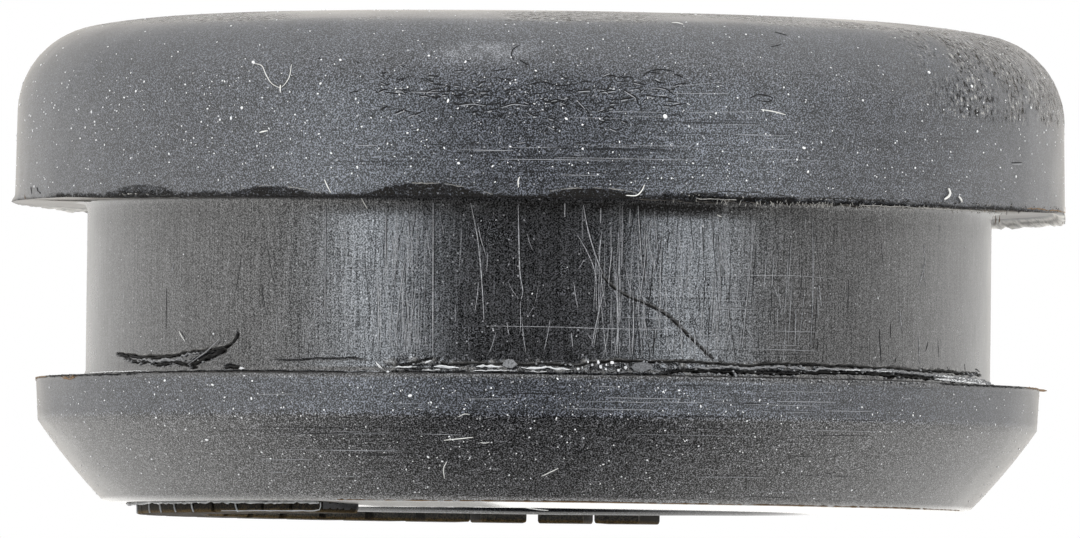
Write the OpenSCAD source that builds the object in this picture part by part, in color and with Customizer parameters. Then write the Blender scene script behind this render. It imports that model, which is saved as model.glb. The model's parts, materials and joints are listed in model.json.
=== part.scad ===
// Rubber panel grommet: a one-piece moulded ring with a domed head, a groove that
// holds the edge of a panel hole, a snap-in lip with a lead-in nose, and a plain
// bore that grips a valve stem or a tube.
// Millimetres. +Z is the bore axis, with the head on top, and -Y is the front. The
// origin is on the axis, in the plane that the raised marks on the end face stand on.

/* [Bore] */
// Diameter of the bore that grips the stem
bore_d = 18.4; // [12:0.2:20]
// Width and height of the edge break at both mouths of the bore
bore_lead = 0.2; // [0.1:0.05:0.6]

/* [Head] */
// Diameter of the head at its lower rim
head_d = 36; // [34:0.5:44]
// Height of the head, from its underside to its flat top
head_h = 6.4; // [5.4:0.2:9]
// Diameter of the flat land on top, inside the crown
head_flat_d = 22.6; // [22.4:0.2:25]
// Radius of the crown between the flat land and the corner
head_crown_r = 23; // [18:1:40]
// Radius of the rounded outer corner
head_corner_r = 3; // [2:0.1:3.6]
// Draft of the head's side wall, in degrees
head_draft = 1; // [0:0.5:3]

/* [Groove] */
// Diameter of the neck, which is the panel hole's diameter
neck_d = 31; // [27:0.5:32]
// Height of the groove, which is the panel's thickness
groove_h = 6; // [3:0.5:9]
// Radius in the root of the groove, top and bottom
groove_root_r = 0.25; // [0.1:0.05:0.4]

/* [Lip] */
// Diameter of the lip at its upper edge
lip_d = 34.4; // [33:0.2:36]
// Height of the straight land on the lip's rim
lip_land_h = 1.45; // [0.8:0.05:3]
// Draft of the lip's land, in degrees
lip_draft = 3; // [0:0.5:5]
// Height of the lead-in nose below the land
nose_h = 2.8; // [2:0.1:5]
// Diameter of the nose's end, at the rim of the end face
nose_d = 29.6; // [28.6:0.2:31.6]
// Radius of the nose's bulging side
nose_bulge_r = 21; // [10:1:60]
// Drop of the end face, from its rim down to the bore's mouth
face_drop = 0.14; // [0:0.02:0.18]

/* [Raised marks] */
// Height of the plain raised marks below the rim of the end face
mark_h = 0.4; // [0.2:0.05:0.8]
// Diameter of the circle that the marks' outer ends lie on
mark_ring_d = 27.4; // [26.8:0.1:28.2]
// Length of each mark along the radius
mark_w = 2.4; // [1:0.1:2.6]
// Number of broad marks, which run round the back to the left side
broad_marks = 11; // [1:1:11]
// Number of narrow marks, which carry on from the left side toward the front
narrow_marks = 11; // [1:1:24]

/* [Trimmed rim] */
// Number of flat knife cuts in a full turn of the head's lower rim
trim_cuts = 20; // [12:1:20]
// Height of the tallest cuts, at the front and the back
trim_h = 0.48; // [0.2:0.02:0.8]
// Lean of the cuts from upright, in degrees
trim_lean = 21; // [14:1:35]

/* [Hidden] */
$fn = 96;

// Radii
bore_r = bore_d / 2;
mouth_r = bore_r + bore_lead;
neck_r = neck_d / 2;
lip_r = lip_d / 2;
lip_low_r = lip_r - lip_land_h * tan(lip_draft);
nose_r = nose_d / 2;
head_r = head_d / 2;
head_flat_r = head_flat_d / 2;

// Heights, from the marks' undersides up
mouth_z = mark_h - face_drop;
lip_low_z = mark_h + nose_h;
lip_z = lip_low_z + lip_land_h;
head_z = lip_z + groove_h;
top_z = head_z + head_h;

// The head's corner circle touches the drafted wall from inside and the crown circle
// from inside. The rise of its centre over the rim solves a quadratic equation.
wall_slope = tan(head_draft);
corner_reach = head_r - head_corner_r / cos(head_draft) - head_flat_r;
crown_base = head_crown_r - head_h;
half_linear = crown_base - corner_reach * wall_slope;
constant = pow(corner_reach, 2) + pow(crown_base, 2) - pow(head_crown_r - head_corner_r, 2);
quadratic = 1 + pow(wall_slope, 2);
corner_rise = (sqrt(pow(half_linear, 2) - quadratic * constant) - half_linear) / quadratic;
corner_x = head_flat_r + corner_reach - corner_rise * wall_slope;
corner_z = head_z + corner_rise;
crown_z = top_z - head_crown_r;
crown_low_angle = atan2(corner_z - crown_z, corner_x - head_flat_r);

// Raised marks: angles run anticlockwise from +X
broad_start = 71.7;
broad_pitch = 10;
broad_gap = 2;
narrow_start = 180;
narrow_pitch = 5.3;
narrow_gap = 0.6;
mark_sink = 0.3;

// Knife cuts: the first one's angle, and the height under which the knife left no mark
trim_start = 221.6;
trim_least_h = 0.14;
cut_w = 8;
cut_depth = 4;
cut_reach = 0.6;

// Points along an arc, from angle a0 to angle a1, in n equal steps
function arc(cx, cz, r, a0, a1, n) =
    [for (i = [0 : n]) let (a = a0 + (a1 - a0) * i / n) [cx + r * cos(a), cz + r * sin(a)]];

// Points along an arc of radius r from p to q that bulges to the right of the way
function bulge(p, q, r, n) =
    let (
        chord = q - p,
        half = norm(chord) / 2,
        inward = [-chord[1], chord[0]] / norm(chord),
        centre = (p + q) / 2 + inward * sqrt(r * r - half * half),
        sweep = 2 * asin(half / r),
        start = atan2(p[1] - centre[1], p[0] - centre[0])
    )
    arc(centre[0], centre[1], r, start, start + sweep, n);

// The ring's section, anticlockwise from the bore's lower mouth
function section() = concat(
    [[mouth_r, mouth_z]],
    bulge([nose_r, mark_h], [lip_low_r, lip_low_z], nose_bulge_r, 8),
    [[lip_r, lip_z]],
    arc(neck_r + groove_root_r, lip_z + groove_root_r, groove_root_r, 270, 180, 6),
    arc(neck_r + groove_root_r, head_z - groove_root_r, groove_root_r, 180, 90, 6),
    [[head_r, head_z]],
    arc(corner_x, corner_z, head_corner_r, head_draft, crown_low_angle, 16),
    arc(head_flat_r, crown_z, head_crown_r, crown_low_angle, 90, 12),
    [[mouth_r, top_z], [bore_r, top_z - bore_lead], [bore_r, mouth_z + bore_lead]]
);

// Height of the knife cut whose middle is at angle a: the cuts fade out to the sides
function cut_h(a) = trim_h * abs(sin(a));

// One knife cut, a flat that leans inward on its way down to the rim
module trim_cut(a) {
    h = cut_h(a);
    if (h >= trim_least_h)
        rotate([0, 0, a])
            translate([head_r - h * wall_slope, 0, head_z + h])
                rotate([0, trim_lean, 0])
                    translate([0, -cut_w / 2, -h - cut_reach])
                        cube([cut_depth, cut_w, h + cut_reach + 1]);
}

// A run of raised marks, each one a sector of a low ring sunk into the end face
module marks(count, start, pitch, gap) {
    for (i = [0 : count - 1])
        rotate_extrude(angle = pitch - gap, start = start + i * pitch)
            translate([mark_ring_d / 2 - mark_w, 0])
                square([mark_w, mark_h + mark_sink]);
}

module grommet() {
    color([0.16, 0.16, 0.17]) {
        difference() {
            rotate_extrude()
                polygon(section());
            for (i = [0 : trim_cuts - 1])
                trim_cut(trim_start + i * 360 / trim_cuts);
        }
        marks(broad_marks, broad_start, broad_pitch, broad_gap);
        marks(narrow_marks, narrow_start, narrow_pitch, narrow_gap);
    }
}

grommet();
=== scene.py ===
"""Looks of the rubber grommet: one moulded ring of black rubber, built as a dense closed mesh
over the CAD solid, with its trimmed rim, torn groove, flash, dust and lint."""

import json
import math

import bmesh
import bpy
import numpy as np
from mathutils import Matrix, Vector

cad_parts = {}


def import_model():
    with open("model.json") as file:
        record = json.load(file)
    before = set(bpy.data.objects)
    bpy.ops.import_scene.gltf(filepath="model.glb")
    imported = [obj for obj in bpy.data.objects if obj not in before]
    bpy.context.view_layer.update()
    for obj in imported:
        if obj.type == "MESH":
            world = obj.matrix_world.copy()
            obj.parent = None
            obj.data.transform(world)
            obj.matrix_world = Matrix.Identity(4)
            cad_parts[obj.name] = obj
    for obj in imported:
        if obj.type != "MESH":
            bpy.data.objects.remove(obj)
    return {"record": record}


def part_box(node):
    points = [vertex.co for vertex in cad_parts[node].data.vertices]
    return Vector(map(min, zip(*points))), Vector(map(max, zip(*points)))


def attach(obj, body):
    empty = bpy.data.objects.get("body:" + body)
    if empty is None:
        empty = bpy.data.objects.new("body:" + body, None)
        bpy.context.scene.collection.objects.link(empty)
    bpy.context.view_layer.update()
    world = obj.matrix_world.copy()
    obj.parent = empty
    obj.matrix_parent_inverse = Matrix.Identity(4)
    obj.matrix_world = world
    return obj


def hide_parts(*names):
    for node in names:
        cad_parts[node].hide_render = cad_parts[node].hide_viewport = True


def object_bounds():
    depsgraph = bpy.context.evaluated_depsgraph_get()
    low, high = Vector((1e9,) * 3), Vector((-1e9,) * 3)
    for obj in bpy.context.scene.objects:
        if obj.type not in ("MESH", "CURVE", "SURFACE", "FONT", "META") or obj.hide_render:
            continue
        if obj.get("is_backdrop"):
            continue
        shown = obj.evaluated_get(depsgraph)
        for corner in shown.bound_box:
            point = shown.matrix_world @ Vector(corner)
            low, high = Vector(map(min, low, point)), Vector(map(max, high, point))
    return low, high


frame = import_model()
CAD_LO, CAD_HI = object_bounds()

MM = 0.001

# ---------------------------------------------------------------- sizes, from the frame
# Millimetres here and in every shape function; meshes are scaled to metres when they are made.
# Places on the ring are (degrees from the front, positive to the right; height).
NODE_HI = np.array(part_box("grommet")[1]) / MM
MOUNTS = {m["name"]: m for m in frame["record"]["mounts"]}
BORE_R = MOUNTS["stem_bore"]["dims"]["r_mm"]
NECK_R = MOUNTS["panel_groove"]["dims"]["r_mm"]
HEAD_Z = MOUNTS["head_underside"]["pos_m"][2] / MM
TOP_Z = NODE_HI[2]
HEAD_R = round(max(NODE_HI[0], NODE_HI[1]), 1)
LIP_Z = HEAD_Z - MOUNTS["panel_groove"]["dims"]["length_mm"]

# The rest of the section's sizes, which the solid has and the record doesn't state
BORE_LEAD = 0.2
MARK_H = 0.4
FACE_DROP = 0.14
NOSE_R = 14.8
NOSE_H = 2.8
NOSE_BULGE_R = 21.0
LIP_R = 17.2
LIP_DRAFT = math.radians(3)
ROOT_R = 0.25
HEAD_FLAT_R = 11.3
CROWN_R = 23.0
CORNER_R = 3.0
HEAD_DRAFT = math.radians(1)
RIM_BAND = 0.75

MOUTH_R = BORE_R + BORE_LEAD
MOUTH_Z = MARK_H - FACE_DROP
LIP_LOW_Z = MARK_H + NOSE_H
LIP_LOW_R = LIP_R - (LIP_Z - LIP_LOW_Z) * math.tan(LIP_DRAFT)
UNDER_R = NECK_R + ROOT_R

# The knife cuts round the rim: the first one's CAD angle, their full height and their lean.
# Wear leaves a share of the height, which differs at the cuts named, and little is left where
# the flash tore off, between two angles from the front. A cut's flat is looked for up to
# TRIM_REACH radians from its middle, and its upper edge up to TRIM_NEAR.
TRIM_CUTS = 20
TRIM_START = 221.6
TRIM_H = 0.48
TRIM_LEAST_H = 0.1
TRIM_LEAN = math.radians(21)
TRIM_WORN = 0.78
TRIM_WORN_AT = {0: 1.1, 1: 0.65, 3: 0.56}
TRIM_TORN, TORN_FROM, TORN_TO = 0.35, 14, 60
TRIM_REACH = 0.5
TRIM_NEAR = 0.3
RIM_HANG = 0.09

# The bars on the end face: broad ones from the back round to the left, then narrow ones
MARK_RING_R = 13.7
MARK_W = 2.4
MARK_SUNK = 0.3
MARK_EDGE = 0.07
BROAD_MARKS, BROAD_START, BROAD_PITCH, BROAD_GAP = 11, 71.7, 10, 2
NARROW_MARKS, NARROW_START, NARROW_PITCH, NARROW_GAP = 11, 180, 5.3, 0.6
NARROW_FIRST = NARROW_START - 270
NARROW_LAST = NARROW_FIRST + NARROW_MARKS * NARROW_PITCH - NARROW_GAP

HEAD_COLOUR = (0.027, 0.0295, 0.036, 1)
NECK_COLOUR = (0.0145, 0.0145, 0.016, 1)
# The nose faces down and has the darkest colour, which is painted shade
NOSE_COLOUR = (0.0082, 0.0082, 0.0088, 1)
# Near white, for the sheets' painted reflection, the lumps' painted highlight and the pale ridges
PALE_COLOUR = (0.92, 0.89, 0.83, 1)
# The colour that places are darkened to, mostly as painted shade
DARKENED_COLOUR = (0.011, 0.01, 0.009, 1)
# Painted shade in the crumbled places' pits
PIT_SHADE_COLOUR = (0.008, 0.007, 0.006, 1)
# Painted highlight on the crumbs' raised tops
CHIP_HIGHLIGHT_COLOUR = (0.5, 0.49, 0.46, 1)
# The colour of the bright grains, which are painted glints
SPARK_COLOUR = (0.36, 0.36, 0.37, 1)
# The colour of the crown's painted highlight
CROWN_HIGHLIGHT_COLOUR = (0.14, 0.145, 0.157)


# ---------------------------------------------------------------- the section
def arc(cx, cz, r, a0, a1, n):
    """n + 1 points on an arc, angles in radians."""
    t = np.linspace(a0, a1, n + 1)
    return np.stack([cx + r * np.cos(t), cz + r * np.sin(t)], 1)


def line(p, q, n):
    """n + 1 points from p to q."""
    t = np.linspace(0, 1, n + 1)[:, None]
    return np.array(p) * (1 - t) + np.array(q) * t


def bulge(p, q, r, n):
    """Arc of radius r from p to q that bulges to the right of the way."""
    p, q = np.array(p), np.array(q)
    chord = q - p
    half = np.linalg.norm(chord) / 2
    inward = np.array([-chord[1], chord[0]]) / np.linalg.norm(chord)
    centre = (p + q) / 2 + inward * math.sqrt(r * r - half * half)
    start = math.atan2(p[1] - centre[1], p[0] - centre[0])
    return arc(centre[0], centre[1], r, start, start + 2 * math.asin(half / r), n)


def head_corner():
    """Centre of the corner circle and the angle at which it meets the crown."""
    slope = math.tan(HEAD_DRAFT)
    reach = HEAD_R - CORNER_R / math.cos(HEAD_DRAFT) - HEAD_FLAT_R
    base = CROWN_R - (TOP_Z - HEAD_Z)
    half = base - reach * slope
    const = reach**2 + base**2 - (CROWN_R - CORNER_R) ** 2
    quad = 1 + slope**2
    rise = (math.sqrt(half**2 - quad * const) - half) / quad
    x, z = HEAD_FLAT_R + reach - rise * slope, HEAD_Z + rise
    return x, z, math.atan2(z - (TOP_Z - CROWN_R), x - HEAD_FLAT_R)


def section():
    """The ring's section as stretches of points, anticlockwise from the bore's lower mouth."""
    cx, cz, meet = head_corner()
    wall_top = (cx + CORNER_R * math.cos(HEAD_DRAFT), cz + CORNER_R * math.sin(HEAD_DRAFT))
    band_top = (HEAD_R - RIM_BAND * math.tan(HEAD_DRAFT), HEAD_Z + RIM_BAND)
    quarter = math.pi / 2
    return {
        "face": line((MOUTH_R, MOUTH_Z), (NOSE_R, MARK_H), 8),
        "nose": bulge((NOSE_R, MARK_H), (LIP_LOW_R, LIP_LOW_Z), NOSE_BULGE_R, 13),
        "land": line((LIP_LOW_R, LIP_LOW_Z), (LIP_R, LIP_Z), 6),
        "shelf": line((LIP_R, LIP_Z), (UNDER_R, LIP_Z), 5),
        "root": arc(UNDER_R, LIP_Z + ROOT_R, ROOT_R, 3 * quarter, math.pi, 2),
        "neck": line((NECK_R, LIP_Z + ROOT_R), (NECK_R, HEAD_Z - ROOT_R), 12),
        "root_top": arc(UNDER_R, HEAD_Z - ROOT_R, ROOT_R, math.pi, quarter, 2),
        "underside": line((UNDER_R, HEAD_Z), (HEAD_R, HEAD_Z), 8),
        "rim": line((HEAD_R, HEAD_Z), band_top, 2),
        "wall": line(band_top, wall_top, 7),
        "corner": arc(cx, cz, CORNER_R, HEAD_DRAFT, meet, 14),
        "crown": arc(HEAD_FLAT_R, TOP_Z - CROWN_R, CROWN_R, meet, quarter, 10),
        "top": line((HEAD_FLAT_R, TOP_Z), (MOUTH_R, TOP_Z), 4),
        "mouth_top": line((MOUTH_R, TOP_Z), (BORE_R, TOP_Z - BORE_LEAD), 1),
        "bore": line((BORE_R, TOP_Z - BORE_LEAD), (BORE_R, MOUTH_Z + BORE_LEAD), 12),
        "mouth": line((BORE_R, MOUTH_Z + BORE_LEAD), (MOUTH_R, MOUTH_Z), 1),
    }


# ---------------------------------------------------------------- noise
def lattice(ix, iy, iz, seed):
    """A repeatable number from -1 to 1 for each lattice point."""
    h = (ix * 374761393 + iy * 668265263 + iz * 1442695041 + seed * 974711) & 0xFFFFFFFF
    h = ((h ^ (h >> 13)) * 1274126177) & 0xFFFFFFFF
    return ((h ^ (h >> 16)) & 0xFFFF) / 32767.5 - 1


def noise(p, cell, seed=0):
    """Smooth value noise from -1 to 1 at points p, with lattice cells of the size given."""
    q = p / cell
    base = np.floor(q).astype(np.int64)
    f = q - base
    f = f * f * (3 - 2 * f)
    total = 0
    for dx in (0, 1):
        for dy in (0, 1):
            for dz in (0, 1):
                wx = f[:, 0] if dx else 1 - f[:, 0]
                wy = f[:, 1] if dy else 1 - f[:, 1]
                wz = f[:, 2] if dz else 1 - f[:, 2]
                corner = lattice(base[:, 0] + dx, base[:, 1] + dy, base[:, 2] + dz, seed)
                total = total + wx * wy * wz * corner
    return total


def rough(p, cell, octaves, seed=0):
    """Noise summed over octaves, each half the size and half the height of the one before."""
    return sum(noise(p, cell / 2**k, seed + k) / 2**k for k in range(octaves)) / (2 - 2 / 2**octaves)


def smooth(x, lo, hi):
    """0 below lo, 1 above hi, and a smooth step between."""
    t = np.clip((x - lo) / (hi - lo), 0, 1)
    return t * t * (3 - 2 * t)


def bump(x, lo, hi, fade):
    """1 between lo and hi, falling to 0 over the fade on each side."""
    return smooth(x, lo - fade, lo) * (1 - smooth(x, hi, hi + fade))


def between(x, lo, hi):
    """Whether each x lies between lo and hi."""
    return (x > lo) & (x < hi)


# ---------------------------------------------------------------- lines on the surface
def curve(points, step=0.02):
    """A smooth curve through places on the ring, in steps of mm on the neck's surface."""
    p = np.array(points, float)
    p = np.vstack([2 * p[0] - p[1], p, 2 * p[-1] - p[-2]])
    out = []
    for a, b, c, d in zip(p, p[1:], p[2:], p[3:]):
        n = max(2, int(math.hypot(math.radians(c[0] - b[0]) * NECK_R, c[1] - b[1]) / step))
        t = np.linspace(0, 1, n, endpoint=False)[:, None]
        square, cube = 2 * a - 5 * b + 4 * c - d, 3 * b - a - 3 * c + d
        out.append(0.5 * (2 * b + (c - a) * t + square * t**2 + cube * t**3))
    return np.vstack([*out, p[-2]])


class Groove:
    """A crack or a cut on the neck: a curve, its width and its depth, with the ends tapered.
    Ragged is how far its line wanders, and lift is the height of the pale ridge beside it."""

    REACH = 0.6
    FAR = 9.0
    BATCH = 4000

    def __init__(self, width, depth, points, ragged=0.0, lift=0.0, taper=0.25):
        self.line = curve(points)
        self.flat = np.stack([np.radians(self.line[:, 0]) * NECK_R, self.line[:, 1]], 1)
        self.width, self.depth, self.ragged, self.lift = width, depth, ragged, lift
        run = np.linspace(0, 1, len(self.line))
        self.strength = smooth(run, 0, taper) * smooth(1 - run, 0, taper)
        self.lo = self.flat.min(0) - self.REACH
        self.hi = self.flat.max(0) + self.REACH

    def near(self, flat):
        """Each flat point's distance to the curve, the strength there and how far above it lies."""
        dist = np.full(len(flat), self.FAR)
        power = np.zeros(len(flat))
        above = np.zeros(len(flat))
        close = np.nonzero(np.all((flat > self.lo) & (flat < self.hi), 1))[0]
        for start in range(0, len(close), self.BATCH):
            part = close[start : start + self.BATCH]
            gap = flat[part][:, None, :] - self.flat[None]
            d2 = (gap**2).sum(2)
            k = d2.argmin(1)
            dist[part] = np.sqrt(d2[np.arange(len(part)), k])
            power[part] = self.strength[k]
            above[part] = gap[np.arange(len(part)), k, 1]
        return dist, power, above


# The hairline crack, which runs down the neck to the lip
HAIRLINE = [(6.9, 8.85), (7.9, 8.07), (9.1, 7.68), (11.3, 7.32), (13.7, 7.08), (16.5, 6.67), (19.7, 5.9)]
HAIRLINE += [(22.7, 5.18)]
# The tear at the lower left: its upper edge, its lower edge, the hollow behind the thread, its end
TEAR_TOP = [(-68, 5.37), (-64, 5.3), (-61, 5.26), (-56.6, 5.22), (-53, 5.27), (-49, 5.37), (-45, 5.47)]
TEAR_TOP += [(-42.5, 5.62), (-41.2, 5.9), (-40.9, 6.2)]
TEAR_LOW = [(-65.5, 5.27), (-62.4, 5.11), (-58.6, 5.07), (-56, 4.98), (-52.3, 5.04), (-50, 4.95)]
TEAR_LOW += [(-47.6, 4.85)]
TEAR_HOLLOW = [(-50, 4.93), (-47.5, 5.12), (-44.8, 5.33), (-42.6, 5.52)]
TEAR_END = [(-43.4, 4.83), (-42, 4.9), (-40.3, 4.84)]
# The dark line on the lip's left, in the corner below the neck
LIP_LEFT = [(-70, 4.72), (-60, 4.73), (-50, 4.74), (-40, 4.75), (-30, 4.74), (-24, 4.71), (-18, 4.73)]
# The skin that peels off the neck over the lip: its upper crack, which rises at each flake ...
PEEL_FAINT = [(-36, 5.13), (-31, 5.11), (-25, 5.17), (-21, 5.09)]
PEEL_FLAKE = [(-18.5, 4.86), (-17.6, 4.92), (-15.5, 5.02), (-14.2, 5.11), (-12.9, 5.23)]
PEEL_MIDDLE = [(-13.2, 5.03), (-9.9, 4.99), (-7.8, 5.02), (-4.4, 5.03), (-0.9, 5.01), (1.1, 5.05)]
PEEL_MIDDLE += [(4.6, 5.0), (7.1, 5.12), (10.8, 5.18), (15.2, 5.16), (17.8, 5.18), (20.6, 5.16)]
PEEL_MIDDLE += [(24.1, 5.1), (27.2, 5.09), (30.8, 5.16)]
PEEL_RIGHT = [(28.6, 5.13), (31, 5.16), (34.5, 5.18), (37.4, 5.18), (40.3, 5.14), (42.9, 5.17), (46, 5.12)]
PEEL_RIGHT += [(51.8, 5.1), (56.6, 5.08), (62.4, 5.1), (67, 5.06), (73, 5.08), (78, 5.02)]
# ... and its lower one, which lies on the lip
FOOT_LEFT = [(-19, 4.72), (-14.7, 4.75), (-12.2, 4.73), (-7.8, 4.75), (-1, 4.72), (7.7, 4.72), (13, 4.73)]
FOOT_LEFT += [(17.5, 4.82)]
FOOT_RIGHT = [(15.5, 4.8), (18.9, 4.88), (24.4, 4.87), (29.1, 4.86), (34.5, 4.87), (37.6, 4.92)]
FOOT_RIGHT += [(44.3, 4.94), (49.8, 4.9), (56.2, 4.85), (62.5, 4.82), (70, 4.78)]

GROOVES = [
    Groove(0.07, 0.3, HAIRLINE, ragged=0.02, lift=0.015, taper=0.12),
    Groove(0.13, 0.4, TEAR_TOP, ragged=0.05, lift=0.06, taper=0.08),
    Groove(0.12, 0.3, TEAR_LOW, ragged=0.06, taper=0.1),
    Groove(0.26, 0.35, TEAR_HOLLOW, ragged=0.05),
    Groove(0.15, 0.25, TEAR_END, ragged=0.04, taper=0.4),
    Groove(0.06, 0.2, LIP_LEFT, ragged=0.03),
    Groove(0.045, 0.12, PEEL_FAINT, ragged=0.05),
    Groove(0.075, 0.25, PEEL_FLAKE, ragged=0.03),
    Groove(0.085, 0.28, PEEL_MIDDLE, ragged=0.05, lift=0.03, taper=0.03),
    Groove(0.1, 0.3, PEEL_RIGHT, ragged=0.05, lift=0.04, taper=0.05),
    Groove(0.08, 0.25, FOOT_LEFT, ragged=0.04, taper=0.05),
    Groove(0.15, 0.35, FOOT_RIGHT, ragged=0.05, taper=0.06),
]


# ---------------------------------------------------------------- the trimmed rim
def turn(a, b):
    """Angle from b to a in degrees, from -180 to 180."""
    return (a - b + 180) % 360 - 180


def knife_cuts():
    """Each knife cut's degrees from the front and its height, apart from those too low to show."""
    cuts = []
    for k in range(TRIM_CUTS):
        a = TRIM_START + k * 360 / TRIM_CUTS
        h = TRIM_H * abs(math.sin(math.radians(a))) * TRIM_WORN_AT.get(k, TRIM_WORN)
        if TORN_FROM < turn(a, 270) < TORN_TO:
            h = h * TRIM_TORN
        if h >= TRIM_LEAST_H:
            cuts.append((a - 270, h))
    return cuts


def trim_limit(phi, z):
    """How far out the knife cuts leave the rim's wall at each angle (radians) and height."""
    limit = np.full(len(phi), 99.0)
    for deg, h in knife_cuts():
        off = np.radians(turn(np.degrees(phi), deg))
        flat = HEAD_R - h * math.tan(HEAD_DRAFT) - (HEAD_Z + h - z) * math.tan(TRIM_LEAN)
        hit = np.abs(off) < TRIM_REACH
        limit[hit] = np.minimum(limit[hit], flat[hit] / np.cos(off[hit]))
    return limit


def cut_top(deg):
    """The height at which the knife cuts leave the head's wall at an angle."""
    lean, draft = math.tan(TRIM_LEAN), math.tan(HEAD_DRAFT)
    heights = []
    for middle, h in knife_cuts():
        off = math.radians(turn(deg, middle))
        if abs(off) <= TRIM_NEAR:
            c = math.cos(off)
            top = HEAD_R * (c - 1) + HEAD_Z * draft * c + h * draft + (HEAD_Z + h) * lean
            heights.append(top / (lean + draft * c))
    return max(heights)


# ---------------------------------------------------------------- the ring
# A plain face's size in mm, and how often the finest ones are halved
FACE_SIZE = 0.55
MOST_HALVINGS = 4


def angles():
    """Column angles in radians, from the back round the front (0) to the back."""
    front = np.arange(-100, 101, 2.0)
    back = np.linspace(100, 180, 28)[1:]
    return np.radians(np.concatenate([-back[::-1], front, back]))


class Ring:
    """The plain section, walked by a row parameter t that counts its points."""

    def __init__(self):
        parts = section()
        self.pts = np.concatenate([p[:-1] for p in parts.values()] + [parts["face"][:1]])
        self.start = {}
        t = 0
        for name, p in parts.items():
            self.start[name] = (t, t + len(p) - 1)
            t += len(p) - 1
        seg = np.diff(self.pts, axis=0)
        n = np.stack([seg[:, 1], -seg[:, 0]], 1)
        n /= np.linalg.norm(n, axis=1)[:, None]
        both = np.vstack([n[-1:], n]) + np.vstack([n, n[:1]])
        self.normals = both / np.linalg.norm(both, axis=1)[:, None]

    def on(self, t, *names):
        """Whether each row parameter lies on one of the stretches named."""
        return np.any([(t >= self.start[n][0]) & (t <= self.start[n][1]) for n in names], axis=0)

    def raw(self, t):
        """Radius, height and outward normal at row parameter t."""
        i = np.clip(np.floor(t).astype(int), 0, len(self.pts) - 2)
        f = (t - i)[:, None]
        p = self.pts[i] * (1 - f) + self.pts[i + 1] * f
        n = self.normals[i] * (1 - f) + self.normals[i + 1] * f
        n /= np.linalg.norm(n, axis=1)[:, None]
        return p[:, 0], p[:, 1], n

    def level(self, phi, t, depth):
        """Whether each face is halved once more, when it has been halved depth - 1 times."""
        r, z, _ = self.raw(t)
        deg = np.degrees(phi)
        front = np.abs(deg) < 72
        rim = self.on(t, "rim") | (self.on(t, "underside") & (r > 17.1))
        neck = self.on(t, "root", "neck")
        dome = self.on(t, "corner", "crown")
        out = np.zeros(len(phi), int)
        out[rim & front] = 2
        out[rim & front & (r > 17.6)] = 3
        out[rim & ~front & (np.abs(deg) < 130)] = 2
        out[self.on(t, "wall") & front & (z < HEAD_Z + RIM_BAND + 0.5)] = 1
        out[neck & between(deg, -72, 82) & (z < LIP_Z + 0.75)] = 2
        out[neck & between(deg, -20, 78) & (z < LIP_Z + 0.6)] = 3
        out[neck & between(deg, -70.5, -38.5) & between(z, 4.8, 6.35)] = 3
        out[dome & between(deg, 45, 106) & between(z, 13.4, 16.75)] = 2
        reach = 0.06 + 0.6 * FACE_SIZE / 2 ** (depth - 1)
        flat = np.stack([phi * NECK_R, z], 1)
        for g in GROOVES:
            out[neck & (g.near(flat)[0] < reach)] = MOST_HALVINGS
        return out >= depth


RING = Ring()


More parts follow.
